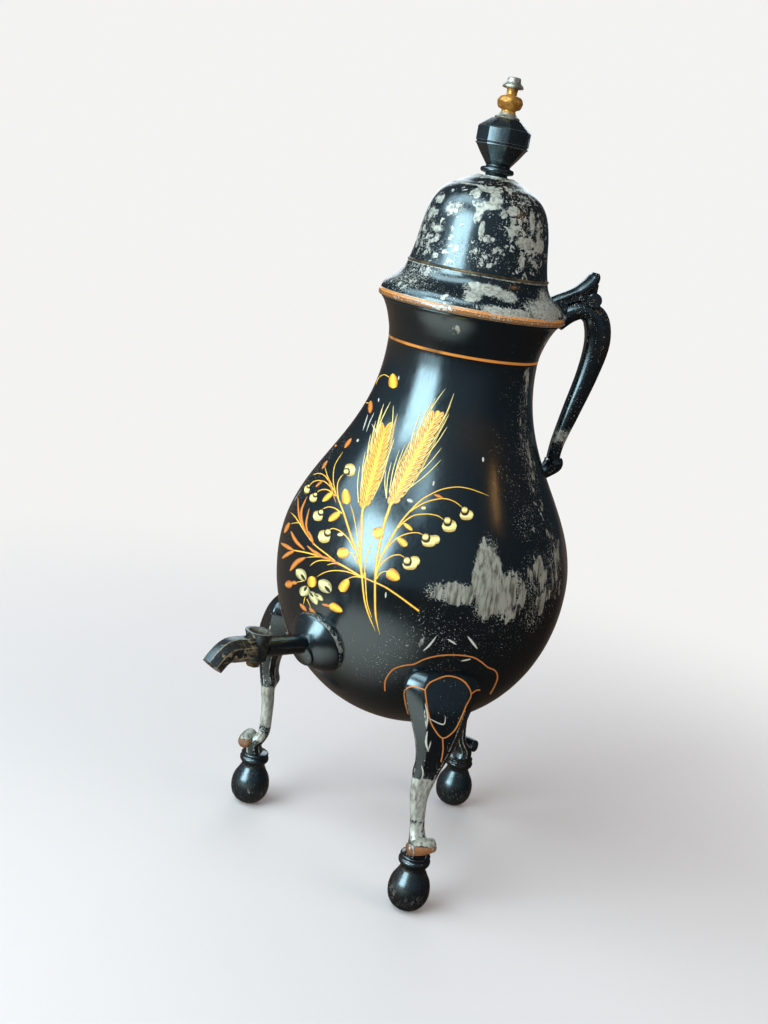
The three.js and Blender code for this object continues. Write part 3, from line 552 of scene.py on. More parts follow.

# %% [markdown]
# ## Handing a piece over
# Each finished mesh gets smooth shading with its sharp edges marked, its finish and the body
# that it moves with, and the measured nodes that it stands for are hidden.

# %% Finished pieces
ON_AXIS, AS_IT_STANDS = Matrix.Translation(AXIS), Matrix.Identity(4)
CRISP = 25    # degrees between faces from which an edge of a planed or filed piece is sharp


def finished(name, bm, body, material, stands_for=(), place=ON_AXIS, sharp=38):
    """A piece of the scene from a bmesh that is still at the origin."""
    bmesh.ops.transform(bm, matrix=place, verts=bm.verts)
    for face in bm.faces:
        face.smooth = True
    for edge in bm.edges:
        edge.smooth = edge.calc_face_angle(0) < math.radians(sharp)
    mesh = bpy.data.meshes.new(name)
    bm.to_mesh(mesh)
    bm.free()
    mesh.materials.append(material)
    piece = shown(name, mesh)
    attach(piece, body)
    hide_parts(*stands_for)
    print(f"{name}: {len(mesh.polygons)} faces, moves with {body}")
    return piece


def standing(direction):
    """The frame of a piece that stands out from the axis: its -Y points that way."""
    return ON_AXIS @ rotated(direction, "Z")

# %% [markdown]
# ## The body
# The real body is cast in two halves and soldered at its widest line, with a flared rim
# soldered on the neck, and then turned smooth and lacquered, so that no joint shows. Each
# part is an outline spun round the axis, and the outlines meet with the same slope, so
# the joints stay hidden here too.

# %% Body outlines
BOWL_BOTTOM, BELLY_HEIGHT, BELLY_RADIUS, BOWL_FULLNESS = 84, 175.5, 84.2, 2.06
BELLY_RUN, NECK_RUN, NECK_HEIGHT, NECK_RADIUS = 47.7, 57, 300, 42.3
RIM_TOP, RIM_RADIUS, RIM_LIP, WALL = 325, 50, 3.8, 2
RIM_SHARES = [(0, 0), (0.008, 0.1), (0.085, 0.3), (0.25, 0.5), (0.5, 0.72), (0.8, 0.9), (1, 0.975), (1, 1)]


def bowl_outline(inset, steps=40):
    points = []
    for i in range(steps + 1):
        angle = i / steps * math.pi / 2
        across = math.sin(angle) ** (2 / BOWL_FULLNESS)
        down = max(math.cos(angle), 0) ** (2 / BOWL_FULLNESS)
        drop = (BELLY_HEIGHT - BOWL_BOTTOM - inset) * down
        points.append(((BELLY_RADIUS - inset) * across, BELLY_HEIGHT - drop))
    points[0], points[-1] = (0, BOWL_BOTTOM + inset), (BELLY_RADIUS - inset, BELLY_HEIGHT)
    return points


def upper_outline(inset):
    return bezier(
        (BELLY_RADIUS - inset, BELLY_HEIGHT), (BELLY_RADIUS - inset, BELLY_HEIGHT + BELLY_RUN),
        (NECK_RADIUS - inset, NECK_HEIGHT - NECK_RUN), (NECK_RADIUS - inset, NECK_HEIGHT), 49,
    )


rim_outline = [(NECK_RADIUS + out * (RIM_RADIUS - NECK_RADIUS), NECK_HEIGHT + up * (RIM_TOP - NECK_HEIGHT))
               for out, up in flowing(RIM_SHARES[:-1], 5) + RIM_SHARES[-1:]]
rim_inside = [
    (RIM_RADIUS - RIM_LIP, RIM_TOP), (43.8, 320), (42, 315), (40.6, 307.5), (NECK_RADIUS - WALL, NECK_HEIGHT),
]
print("rim outline:", len(rim_outline), "points outside and", len(rim_inside), "inside")

# %% Body pieces
for name, outline, node in (
    ("bowl_half", bowl_outline(0) + bowl_outline(WALL)[::-1], "lower_bowl"),
    ("shoulder_half", upper_outline(0) + upper_outline(WALL)[::-1], "upper_body"),
    ("flared_rim", rim_outline + rim_inside, "neck_rim"),
):
    finished(name, spun(outline), "urn", body_lacquer, [node])

body_profile = bowl_outline(0) + upper_outline(0)[1:] + rim_outline[1:]


def body_radius(height):
    """Radius of the body's outside at a height."""
    for (low_radius, low_height), (high_radius, high_height) in zip(body_profile, body_profile[1:]):
        if low_height <= height <= high_height:
            part = (height - low_height) / max(high_height - low_height, 1e-9)
            return low_radius + part * (high_radius - low_radius)
    return 0.0

# %% [markdown]
# ## The lid
# The lid is a flange with a round edge, a dome above it and a small step under the
# finial. A thin moulded ring marks where dome and flange meet. It is hollow, with a
# collar below that drops into the neck.

# %% Lid outlines
LID_SEAT, DOME_BASE, DOME_TOP, STEP_TOP = 325.3, 347.0, 393.3, 397.6
FLANGE_RADIUS, DOME_RADIUS, SHOULDER_RADIUS, STEP_RADIUS, STUD_HOLE = 52.2, 38.9, 18.6, 10.4, 1.9

flange_edge = [(49.5, LID_SEAT), (51.6, 325.6), (FLANGE_RADIUS, 326.9), (51.9, 328.4), (51.3, 329.1)]
flange_slope = bezier(flange_edge[-1], (50.0, 337.5), (40.4, 336.4), (DOME_RADIUS, DOME_BASE), 25)
flange_inside = [(37.0, 346.5), (38.4, 338.6), (44.6, 332.4), (44.6, LID_SEAT)]
base_ring = [(DOME_RADIUS - 1, 346.6), (39.3, 346.5), (39.55, 347.0), (39.3, 347.5), (38.7, 347.9)]
dome_side = bezier((38.8, 347.3), (33.2, 366.3), (37.5, 386.3), (SHOULDER_RADIUS, DOME_TOP), 40)
dome_shoulder = flowing([dome_side[-1], (15.4, 395.1), (11.6, 396.9)], 4)[1:]
dome_step = [(STEP_RADIUS, 397.2), (STEP_RADIUS, STEP_TOP), (STUD_HOLE, STEP_TOP), (STUD_HOLE, 395.4)]
dome_inside = [(radius - WALL, height - 0.8) for radius, height in dome_side[::-1][2:-1]] + [(36.8, 347.3)]
edge_outline = flowing(flange_edge, 3)[:-1] + flange_slope + flange_inside
collar_outline = [(39.6, 320.1), (41.2, 320.1), (44.3, 325.3), (44.3, 330.3), (42.7, 330.3), (42.7, 325.3)]
print("lid outlines:", len(edge_outline), "points for the edge,", len(dome_side), "for the side of the dome")

# %% Lid pieces
for name, outline, slot, finish, nodes in (
    ("lid_edge", edge_outline, "worn_lacquer", flange_lacquer, ["lid_flange"]),
    ("lid_bell", dome_side + dome_shoulder + dome_step + dome_inside, "worn_lacquer", lid_lacquer, ["lid_dome"]),
    ("lid_ring", base_ring, "worn_lacquer", old_brass, []),
    ("lid_tongue", collar_outline, "bare_pewter", bare_pewter, ["lid_collar"]),
):
    finished(name, spun(outline), "lid", finish, nodes)

# %% [markdown]
# ## The finial
# Five turned pieces are threaded on a stud: a spool, an eight-sided wooden knob, a
# ferrule, a gilded bead and a cap. The knob is one octagon, extruded and scaled at each
# turning, with its edges bevelled a little, as a plane leaves them.

# %% Finial
SPOOL_SHARES = [(0.71, 0), (0.66, 0.17), (0.93, 0.3), (1, 0.52), (0.93, 0.74), (0.75, 0.87), (0.74, 1)]
FERRULE_SHARES = [(0.95, 0), (1, 0.3), (0.75, 0.62), (0.61, 1)]
BEAD_SHARES = [
    (0.6, 0), (0.57, 0.12), (0.86, 0.2), (1, 0.4), (0.98, 0.52), (0.8, 0.68), (0.46, 0.76), (0.42, 0.88), (0.46, 1),
]
CAP_SHARES = [(0.45, 0), (0.92, 0.07), (1, 0.2), (0.9, 0.36), (0.68, 0.56), (0.63, 0.8), (0.56, 0.96), (0.3, 1)]
for name, node, sizes, slot, finish in (    # sizes: shares, steps, radius, height, base, hole
    ("knob_spool", "spool", (SPOOL_SHARES, 4, 9.25, 6.0, 397.7, STUD_HOLE), "black_lacquer", fitting_lacquer),
    ("knob_ferrule", "ferrule", (FERRULE_SHARES, 4, 6.85, 3.4, 427.8, STUD_HOLE), "bare_pewter", bare_pewter),
    ("gilded_bead", "bead", (BEAD_SHARES, 5, 6.95, 12.4, 431.2, STUD_HOLE), "gilded_brass", gilding),
    ("knob_cap", "cap", (CAP_SHARES, 4, 5.75, 6.15, 443.6), "bare_pewter", bare_pewter),
):
    finished(name, spun(turning(*sizes), 64), "lid", finish, [f"finial_{node}"])

KNOB_TURN = 5     # degrees
KNOB_OUTLINE = [
    (7.15, 403.7), (11.2, 409.0), (14.1, 413.2), (14.75, 413.5), (14.75, 414.2), (14.2, 414.5), (14.25, 414.9),
    (14.8, 415.2), (14.85, 422.4), (14.3, 423.1), (8.2, 427.8),
]
finished("octagon_knob", prism(8, KNOB_OUTLINE, 0.35, KNOB_TURN), "lid", black_wood,
         ["finial_knob"], sharp=CRISP)

# %% Stud and nut inside the lid
STUD_OUTLINE = [(0, 390.4), (1.3, 390.4), (1.6, 390.9), (1.6, 446.0), (0, 446.0)]
NUT_OUTLINE = [(4.1, 392.3), (4.45, 392.6), (4.45, 395.0), (4.1, 395.3)]
finished("stud", spun(STUD_OUTLINE, 32), "lid", bare_pewter, ["finial_stud"])
finished("stud_nut", prism(6, NUT_OUTLINE, 0.15), "lid", bare_pewter, ["finial_nut"], sharp=CRISP)

# %% [markdown]
# ## The legs and feet
# A cast leg has a broad knee with three flat panels, an ankle that draws in, and a toe
# that curls into a roll. Below it a turned ring and a wooden ball carry the urn. The ring
# of corners keeps its flats all the way down, and the ridges between them are bevelled,
# as a file leaves them.

# %% Leg
LEG_DIRECTIONS = {"left": -60, "right": 57.6, "back": 182}
FOOT_REACH, PAD_BOTTOM, KNEE_TOP, KNEE_REACH, KNEE_WIDTH = 80.6, 33.8, 141, 9, 44
LEG_SECTIONS = [    # up, outer face, inner face and width
    (0, 0.75, -0.45, 0.3), (0.04, 0.8, -0.3, 0.27), (0.072, 0.6, -0.52, 0.235),
    (0.114, 0.05, -0.72, 0.2), (0.17, -0.05, -0.76, 0.19), (0.254, 0, -0.72, 0.215),
    (0.324, 0.06, -0.66, 0.25), (0.394, 0.22, -0.57, 0.3), (0.454, 0.36, -0.78, 0.34),
    (0.506, 0.48, -0.6, 0.38), (0.58, 0.64, -0.62, 0.47), (0.655, 0.78, -0.9, 0.58),
    (0.73, 0.84, -1.45, 0.7), (0.795, 0.8, -2, 0.82), (0.86, 0.62, -1.9, 0.93),
    (0.916, 0.42, -1.6, 0.97), (0.955, 0.2, -1.4, 0.88), (0.983, -0.08, -1.2, 0.72), (1, -0.5, -1, 0.45),
]
KNEE_ASKEW = {"right": -2.2}    # how far a knee is soldered to one side of its foot
SHANK_BOW = {"right": -3.6, "back": 4.0}     # and how far the shank below it is bent
ASKEW_FROM, ASKEW_OVER, BOW_AT, BOW_SPREAD = 0.3, 0.5, 0.33, 0.17     # shares of the leg's height
TOE_TILT, TOE_TURN = {"right": -13}, {"back": 16}     # degrees
TOE_REACH, TOE_HEIGHT = 86.9, 41
RIDGES_WORN_TO, BALL_TALL = 124, 27.2
LEG_CORNERS = [(-0.6, 1), (0.6, 1), (1, 0.35), (0.92, -0.5), (0.5, -1), (-0.5, -1), (-0.92, -0.5), (-1, 0.35)]


def leg_rings(askew, bow):
    rings = []
    for up, out, inwards, across in flowing(LEG_SECTIONS, 4):
        aside = askew * min(max((up - ASKEW_FROM) / ASKEW_OVER, 0), 1)
        aside += bow * math.exp(-((up - BOW_AT) / BOW_SPREAD) ** 2)
        outer, inner = FOOT_REACH + out * KNEE_REACH, FOOT_REACH + inwards * KNEE_REACH
        middle, half_depth = (outer + inner) / 2, (outer - inner) / 2
        height = PAD_BOTTOM + up * (KNEE_TOP - PAD_BOTTOM)
        rings.append([
            Vector((aside + side * across * KNEE_WIDTH / 2, -(middle + front * half_depth), height)) * MM
            for side, front in LEG_CORNERS
        ])
    return rings


TOE_ROLL = [
    (0, -8.2), (2.4, -8.1), (3.6, -7.3), (4.1, -5.6), (4.5, -2.5), (4.6, 0),
    (4.5, 2.5), (4.1, 5.6), (3.6, 7.3), (2.4, 8.1), (0, 8.2),
]
TOE_EDGES = (9, 21)    # the turns of the roll that are rubbed bare
BALL_SHARES = [
    (0.32, 0), (0.68, 0.09), (0.92, 0.24), (1, 0.44), (0.93, 0.64), (0.73, 0.81), (0.61, 0.92), (0.62, 1),
]
RING_SHARES = [(0.83, 0), (0.97, 0.18), (1, 0.48), (0.89, 0.68), (0.95, 0.88), (0.86, 1)]
for side, direction in LEG_DIRECTIONS.items():
    leg = lofted(leg_rings(KNEE_ASKEW.get(side, 0), SHANK_BOW.get(side, 0)), 0.8)
    for vert in leg.verts:
        if vert.co.z > RIDGES_WORN_TO * MM:
            vert[leg.verts.layers.float["ridge"]] = 0.0
    finished(f"cabriole_{side}", leg, "urn", leg_lacquer, [f"leg_{side}"], standing(direction))
    at_foot = standing(direction) @ moved(0, -FOOT_REACH, 0)
    at_toe = at_foot @ rotated(TOE_TURN.get(side, 0), "Z") @ moved(0, FOOT_REACH - TOE_REACH, TOE_HEIGHT)
    finished(f"toe_{side}", spun(flowing(TOE_ROLL, 3), 48, TOE_EDGES), "urn",
             fitting_lacquer if side == "back" else toe_lacquer, [], at_toe @ rotated(90 + TOE_TILT.get(side, 0), "Y"))
    ball = turning(BALL_SHARES, 5, 11.75, BALL_TALL)
    ring = turning(RING_SHARES, 5, 8.85, PAD_BOTTOM - BALL_TALL, BALL_TALL)
    finished(f"ball_{side}", spun(ball, 64), "urn", black_wood, [f"foot_ball_{side}"], at_foot)
    finished(f"ring_{side}", spun(ring, 64), "urn", fitting_lacquer, [f"foot_ring_{side}"], at_foot)

# %% [markdown]
# ## The tap
# A bell-shaped boss carries a round tube, and the barrel with the taper plug stands at
# its end. The key is lost, so the barrel's cup stands open. The outlet and the bent spout
# are eight-sided. The tap's own frame comes from the joint of its plug.

# %% Tap frame and boss
plug_axis = Vector(JOINT["tap_turn"]["axis"]).normalized()
tap_rise = math.degrees(math.atan2(plug_axis.y, plug_axis.z))
BARREL_DISTANCE = 46
BOSS_LOW, BOSS_HIGH, BOSS_RADIUS, BOSS_PROUD, TAP_BURIED = 119.8, 156.2, 18.1, 13, -6
AT_PLUG = Matrix.Translation(JOINT["tap_turn"]["pos_m"]) @ rotated(-tap_rise, "X")
AT_BOWL = AT_PLUG @ moved(0, BARREL_DISTANCE, 0)
OUTWARDS = rotated(90, "X")

BOSS_SHARES = [
    (1, 0.09), (0.97, 0.17), (0.85, 0.36), (0.67, 0.59), (0.5, 0.76), (0.43, 0.84), (0.44, 0.94), (0.38, 1),
]
TUBE_OUTLINE = [(2.5, TAP_BURIED), (5.25, TAP_BURIED), (5.25, 12), (5.25, 28), (5.25, 41), (2.5, 41)]
slope = math.degrees(math.atan2(body_radius(BOSS_HIGH) - body_radius(BOSS_LOW), BOSS_HIGH - BOSS_LOW))
boss = [(0, TAP_BURIED), (BOSS_RADIUS, TAP_BURIED)] + turning(BOSS_SHARES, 6, BOSS_RADIUS, BOSS_PROUD)[1:]
finished("boss", spun(boss, 96, worn=(2,)), "urn", fitting_lacquer, ["tap_rosette"],
         AT_BOWL @ rotated(slope + tap_rise, "X") @ OUTWARDS)
finished("tube", spun(TUBE_OUTLINE, 64), "urn", fitting_lacquer, ["tap_tube"], AT_BOWL @ OUTWARDS)

# %% Barrel, plug, washer and nut
BARREL = [
    (3.9, -6.4), (5.61, -6.4), (6.402, -5.62), (6.6, 2.96), (6.732, 6.548), (7.524, 8.264), (7.59, 9.2),
    (6.1, 9.2), (6.0, 3.8), (4.7, 3.8),
]
CUP_LINING = [(5.95, 9.1), (5.95, 3.9), (4.75, 3.9), (4.75, 4.1), (5.75, 4.1), (5.75, 9.1)]
PLUG = [(0, -10), (2, -10), (2, -6.4), (3.6, -6.4), (4.4, 3.8), (0, 3.8)]
WASHER = [(2.1, -7.7), (4.4, -7.7), (4.6, -7.5), (4.6, -6.9), (4.4, -6.7), (2.1, -6.7)]
PLUG_NUT = [(3.4, -9.9), (3.65, -9.7), (3.65, -8.2), (3.4, -8.0)]
for name, bm, body, slot, finish, nodes, sharp in (
    ("barrel", spun(BARREL, 64), "urn", "dark_brass", tap_lacquer, ["tap_barrel"], 38),
    ("cup_lining", spun(CUP_LINING, 64), "urn", "bare_pewter", bare_pewter, [], 38),
    ("plug", spun(PLUG, 48), "plug", "bare_pewter", bare_pewter, ["tap_plug"], 38),
    ("key_stub", block((4.6, 4.6, 4.6), (0, 0, 2.7), 0.3), "plug", "bare_pewter", bare_pewter, [], 38),
    ("plug_washer", spun(WASHER, 48), "plug", "dark_brass", old_brass, ["tap_washer"], 38),
    ("plug_nut", prism(6, PLUG_NUT, 0.15), "plug", "dark_brass", old_brass, ["tap_nut"], CRISP),
):
    finished(name, bm, body, finish, nodes, AT_PLUG, sharp)

# %% Outlet and spout
def octagon_ring(reach, height, along, radius):
    """Eight corners square to a path that stays in the plane of Y and Z."""
    upright = Vector((0, -along.z, along.y)) if along.y < 0 else Vector((0, along.z, -along.y))
    corners = [math.radians(22.5 + 45 * i) for i in range(8)]
    return [
        (Vector((radius * math.sin(angle), -reach, height)) + upright.normalized() * radius * math.cos(angle)) * MM
        for angle in corners
    ]


OUTLET = [(6.2, 4.0), (6.9, 5.4), (6.9, 13.9), (6.6, 14.6)]
SPOUT_WIDE, SPOUT_NARROW = 6.9, 6.2
outlet_rings = [octagon_ring(reach, 0, Vector((0, -1, 0)), radius) for radius, reach in OUTLET]
finished("outlet", lofted(outlet_rings, 0.4), "urn", worn_tap, ["tap_outlet"], AT_PLUG, sharp=CRISP)

spout_path = bezier((14.6, 0), (20.8, 0.8), (23.9, -2.1), (28.1, -8), 12)
spout_rings = []
for i, (reach, height) in enumerate(spout_path):
    before, after = neighbours(spout_path, i)
    along = Vector((0, before[0] - after[0], after[1] - before[1]))
    radius = SPOUT_WIDE - (SPOUT_WIDE - SPOUT_NARROW) * i / (len(spout_path) - 1)
    spout_rings.append(octagon_ring(reach, height, along, radius))
for reach, height, radius in ((28.0, -7.9, 3.1), (24.6, -3.6, 2.9)):     # the bore
    spout_rings.append(octagon_ring(reach, height, along, radius))
finished("spout", lofted(spout_rings, 0.4), "urn", tap_lacquer, ["tap_spout"], AT_PLUG, sharp=CRISP)

# %% [markdown]
# ## The handle and the hinge
# The handle is a cast scroll with a flat back and bevelled sides. Its arch carries the
# two outer knuckles of the lid's hinge; the middle one belongs to the thumbpiece, which
# is soldered to the lid.

# %% Handle
HANDLE_DIRECTION, HANDLE_REACH, ARCH_HEIGHT, HANDLE_HEIGHT = 140, 33.3, 335.2, 86.5
HANDLE_WIDTH, HANDLE_DEPTH, SHOULDER_AT_HANDLE, FOOT_OVERLAP, FOOT_TALL = 12.3, 14.1, 55.4, 0.2, 10
HANDLE_STATIONS = [    # reach, drop, depth and width
    (0.16, 0.1, 0.82, 0.96), (0.408, 0.03, 0.74, 0.96), (0.64, 0, 0.76, 1), (0.86, 0.047, 0.98, 1),
    (0.915, 0.19, 1, 0.97), (0.782, 0.4, 0.85, 0.89), (0.526, 0.67, 0.7, 0.8),
    (0.328, 0.88, 0.55, 0.73), (0.256, 1, 0.52, 0.73),
]
GRIP_FOOT = [(0.266, 0, 0.6, 0.84), (0.281, 0.28, 0.74, 0.9), (0.186, 0.7, 0.58, 0.84), (0.006, 1.15, 0.5, 0.8)]
GRIP_CORNERS = [(-0.45, 1), (0.45, 1), (1, 0.3), (1, -0.4), (0.6, -1), (-0.6, -1), (-1, -0.4), (-1, 0.3)]
AT_HANDLE = standing(HANDLE_DIRECTION)


def rings_along(stations):
    """Rings square to a path in the plane of -Y and Z: reach, height, depth and width."""
    rings = []
    for i, (reach, height, depth, width) in enumerate(stations):
        before, after = neighbours(stations, i)
        along = Vector((after[0] - before[0], after[1] - before[1])).normalized()
        rings.append([
            Vector((-across * width, -reach + along.y * out * depth, height + along.x * out * depth)) * MM
            for across, out in ((across / 2, out / 2) for across, out in GRIP_CORNERS)
        ])
    return rings


handle_stations = [
    (NECK_RADIUS + drop * (SHOULDER_AT_HANDLE - NECK_RADIUS) + reach * HANDLE_REACH,
     ARCH_HEIGHT - drop * HANDLE_HEIGHT, depth * HANDLE_DEPTH, width * HANDLE_WIDTH)
    for reach, drop, depth, width in flowing(HANDLE_STATIONS, 5)
]
foot_stations = [
    (SHOULDER_AT_HANDLE + reach * HANDLE_REACH, ARCH_HEIGHT - HANDLE_HEIGHT + FOOT_OVERLAP - drop * FOOT_TALL,
     depth * HANDLE_DEPTH, width * HANDLE_WIDTH)
    for reach, drop, depth, width in flowing(GRIP_FOOT, 5)
]
print("handle:", len(handle_stations), "stations, and", len(foot_stations), "for its terminal")

# %% Cutting room for the hinge
def carved(piece, cutters):
    """Take the cutters' shapes out of the piece's mesh."""
    for cutter in cutters:
        mesh = bpy.data.meshes.new("cutter")
        cutter.to_mesh(mesh)
        cutter.free()
        tool = shown("cutter", mesh)
        cut = piece.modifiers.new("cut", "BOOLEAN")
        cut.operation, cut.solver, cut.object = "DIFFERENCE", "EXACT", tool
        bpy.context.view_layer.update()
        cleared = bpy.data.meshes.new_from_object(piece.evaluated_get(bpy.context.evaluated_depsgraph_get()))
        piece.modifiers.clear()
        old, piece.data = piece.data, cleared
        cleared.name = piece.name
        bpy.data.meshes.remove(old)
        bpy.data.objects.remove(tool)


def rod(radius, from_end, to_end, place, steps=40):
    bm = spun([(0, from_end), (radius, from_end), (radius, to_end), (0, to_end)], steps)
    bmesh.ops.transform(bm, matrix=place, verts=bm.verts)
    return bm


HINGE_REACH, HINGE_HEIGHT = 67, 341.5
AT_HINGE = AT_HANDLE @ moved(0, -HINGE_REACH, HINGE_HEIGHT) @ rotated(90, "Y")
LUG_FROM, KNUCKLE_TO = 3.55, 3.2     # from the middle of the pin
ROOM, KNUCKLE_SEAT, ROOM_TO = 5.2, 4.0, 12     # room that is cut for the parts that turn
LID_ROOM, LID_ROOM_TO = 53.4, 420              # and for the lid
print("hinge pin at", tuple(round(v, 4) for v in AT_HINGE.translation))

# %% Handle pieces
def cast_piece(name, stations, ridge_round, body, nodes):
    bm = lofted(rings_along(stations), ridge_round)
    return finished(name, bm, body, handle_lacquer, nodes, AT_HANDLE)


carved(cast_piece("scroll_handle", handle_stations, 1.3, "urn", ["handle"]), [
    rod(ROOM, -LUG_FROM, LUG_FROM, AT_HINGE),
    rod(LID_ROOM, LID_SEAT, LID_ROOM_TO, ON_AXIS, 96),
])
LUG = [(0, 0), (3.7, 0), (4.2, 0.5), (4.2, 2.6), (3.7, 3.1), (0, 3.1)]
for side, start in (("near", LUG_FROM), ("far", -LUG_FROM - LUG[-1][1])):
    bm = spun([(radius, start + along) for radius, along in LUG], 40)
    finished(f"hinge_lug_{side}", bm, "urn", handle_lacquer, [], AT_HINGE)
cast_piece("handle_terminal", foot_stations, 0.9, "urn", ["handle_foot"])
RIVET = [(0, -6.8), (0.9, -6.8), (1.2, -6.6), (1.2, 6.6), (0.9, 6.8), (0, 6.8)]
finished("hinge_rivet", spun(RIVET, 32), "urn", old_brass, ["hinge_pin"], AT_HINGE)

# %% Thumbpiece
THUMB_STATIONS = [    # reach, rise, depth and width
    (0.63, -0.44, 0.9, 0.6), (0.725, -0.21, 1, 0.72), (0.82, 0.1, 0.78, 0.84), (0.9, 0.3, 1.1, 0.95),
    (0.955, 0.61, 1.02, 1), (0.98, 0.85, 0.88, 0.9), (0.985, 1, 0.5, 0.55),
]
HEEL = [
    (43.5, 335.4), (46.0, 334.2), (50.8, 331.2), (52.9, 331.2), (52.95, 337.4), (55, 338.5), (57, 339.35),
    (59, 340.15), (61.6, 340.9), (63.5, 343.5), (62.5, 347.5), (55, 343), (48, 339), (44, 337.2),
]
KNUCKLE = [(1.55, -3.2), (4.1, -3.2), (4.4, -2.9), (4.4, 2.9), (4.1, 3.2), (1.55, 3.2)]
THUMB_RISE, THUMB_DEPTH, THUMB_WIDTH, HEEL_HALF = 15, 7, 11.5, 4.2
thumb_stations = [(reach * HINGE_REACH, HINGE_HEIGHT + rise * THUMB_RISE, depth * THUMB_DEPTH, width * THUMB_WIDTH)
                  for reach, rise, depth, width in flowing(THUMB_STATIONS, 5)]
carved(cast_piece("thumb_rest", thumb_stations, 0.9, "lid", ["thumbpiece"]), [
    rod(ROOM, KNUCKLE_TO, ROOM_TO, AT_HINGE), rod(ROOM, -ROOM_TO, -KNUCKLE_TO, AT_HINGE),
    rod(KNUCKLE_SEAT, -KNUCKLE_TO, KNUCKLE_TO, AT_HINGE),
])
heel_rings = [[Vector((across, -reach, height)) * MM for reach, height in HEEL] for across in (-HEEL_HALF, HEEL_HALF)]
web = block((6.4, 4.0, 6.0), (0, 0.5 - HINGE_REACH, HINGE_HEIGHT + 6), 0.5)
for name, bm, place in (
    ("thumb_heel", lofted(heel_rings, 0.3), AT_HANDLE),
    ("hinge_knuckle", spun(KNUCKLE, 40), AT_HINGE),
    ("hinge_web", web, AT_HANDLE),
):
    finished(name, bm, "lid", handle_lacquer, [], place)

# %% [markdown]
# ## The painting
# Two wheat ears with sprays of berries, buds and a flower are painted on the front, in
# the manner that was usual on lacquered ware. The painter laid each stroke with a loaded
# brush, so it stands a little proud, is pale in the middle and dark gold at its edge.
# Here each stroke is a line of points as they are seen from the camera. They are cast on
# the urn's own surface, and a narrow strip with a raised middle is extruded along them,
# so the painting lies on the body from every side.

# %% The painter's canvas
canvas_mesh = bmesh.new()
for name in ("bowl_half", "shoulder_half", "flared_rim", "cabriole_right"):
    canvas_mesh.from_mesh(bpy.data.objects[name].data)
canvas = BVHTree.FromBMesh(canvas_mesh)
print("canvas:", len(canvas_mesh.faces), "faces of the body and the right leg")
canvas_mesh.free()


def cast(point):
    """Place and direction of the urn's surface at a point of the camera's picture."""
    across, down = point[0] - PHOTO_WIDTH / 2, point[1] - PHOTO_HEIGHT / 2
    ray = view_ahead + (camera_right * across - camera_up * down) / PHOTO_FOCUS
    return canvas.ray_cast(camera_at, ray.normalized())[:2]

# %% Brush strokes
BRUSH = {
    "line": lambda t: 1 - 0.4 * t - 0.6 * max(0, t - 0.85) / 0.15,
    "even": lambda t: 1,
    "leaf": lambda t: max(math.sin(math.pi * t), 0) ** 0.75,
    "bud": lambda t: 2.5 * t ** 0.75 * math.sqrt(1 - t),
    "disc": lambda t: 2 * math.sqrt(t * (1 - t)),
}
PAINT_LIFT, LAYER, PAINT_PROUD = 0.03, 0.05, 0.09
THINNEST = 0.12     # half the width of the finest hair of the brush, in pixels of the picture


def stroke(bm, points, width, kind="line", layer=0):
    """One strip of paint along points of the picture, its width in pixels of the picture.
    The strip has three points across: its edges lie on the urn, its middle is proud."""
    path = [Vector(point) for point in flowing(points, 5 if kind in ("line", "even") else 7)]
    uv = bm.loops.layers.uv.verify()
    row, edges, coords = [], [], {}
    for i, point in enumerate(path):
        part = i / (len(path) - 1)
        before, after = neighbours(path, i)
        along = (after - before).normalized()
        half = Vector((along.y, -along.x)) * max(BRUSH[kind](part) * width / 2, THINNEST)
        hits = [cast(point + half * side) for side in (-1, 0, 1)]
        if any(at is None for at, facing in hits):
            row = []
            continue
        lift = PAINT_LIFT + layer * LAYER
        places = [at + facing * (lift + proud) * MM for (at, facing), proud in zip(hits, (0, PAINT_PROUD, 0))]
        if row:
            row, edges = grown(bm, row, edges, places)
        else:
            row = [bm.verts.new(place) for place in places]
            edges = [bm.edges.new(pair) for pair in zip(row, row[1:])]
        coords.update({vert: (u, part) for vert, u in zip(row, (0.0, 0.5, 1.0))})
    for face in {face for vert in coords for face in vert.link_faces}:
        for loop in face.loops:
            loop[uv].uv = coords[loop.vert]
        face.normal_update()
        if face.normal.dot(camera_at - face.calc_center_median()) < 0:
            face.normal_flip()

# %% Paint
def paint(name, core, edge):
    """Oil paint: its core colour in the middle of the stroke, its edge colour outside,
    with streaks of the brush along it."""
    material, tree = new_material(name)
    across = add(tree, "SeparateXYZ", {0: add(tree, "TexCoord").outputs["UV"]}).outputs[0]
    from_middle = sums(tree, "ABSOLUTE", sums(tree, "MULTIPLY_ADD", across, 2.0, -1.0))
    bristles = noise(tree, use(tree, round_urn)["Position"], 900.0, 4.0)
    edge_share = ramped(tree, sums(tree, "MULTIPLY_ADD", bristles, 0.9, from_middle), 0.75, 1.35)
    set_shader(tree, {
        "Base Color": mixed(tree, edge_share, core, edge),
        "Roughness": sums(tree, "MULTIPLY_ADD", bristles, 0.3, 0.3),
        "Normal": raised(tree, bristles, 0.0001, 0.5),
    })
    return material


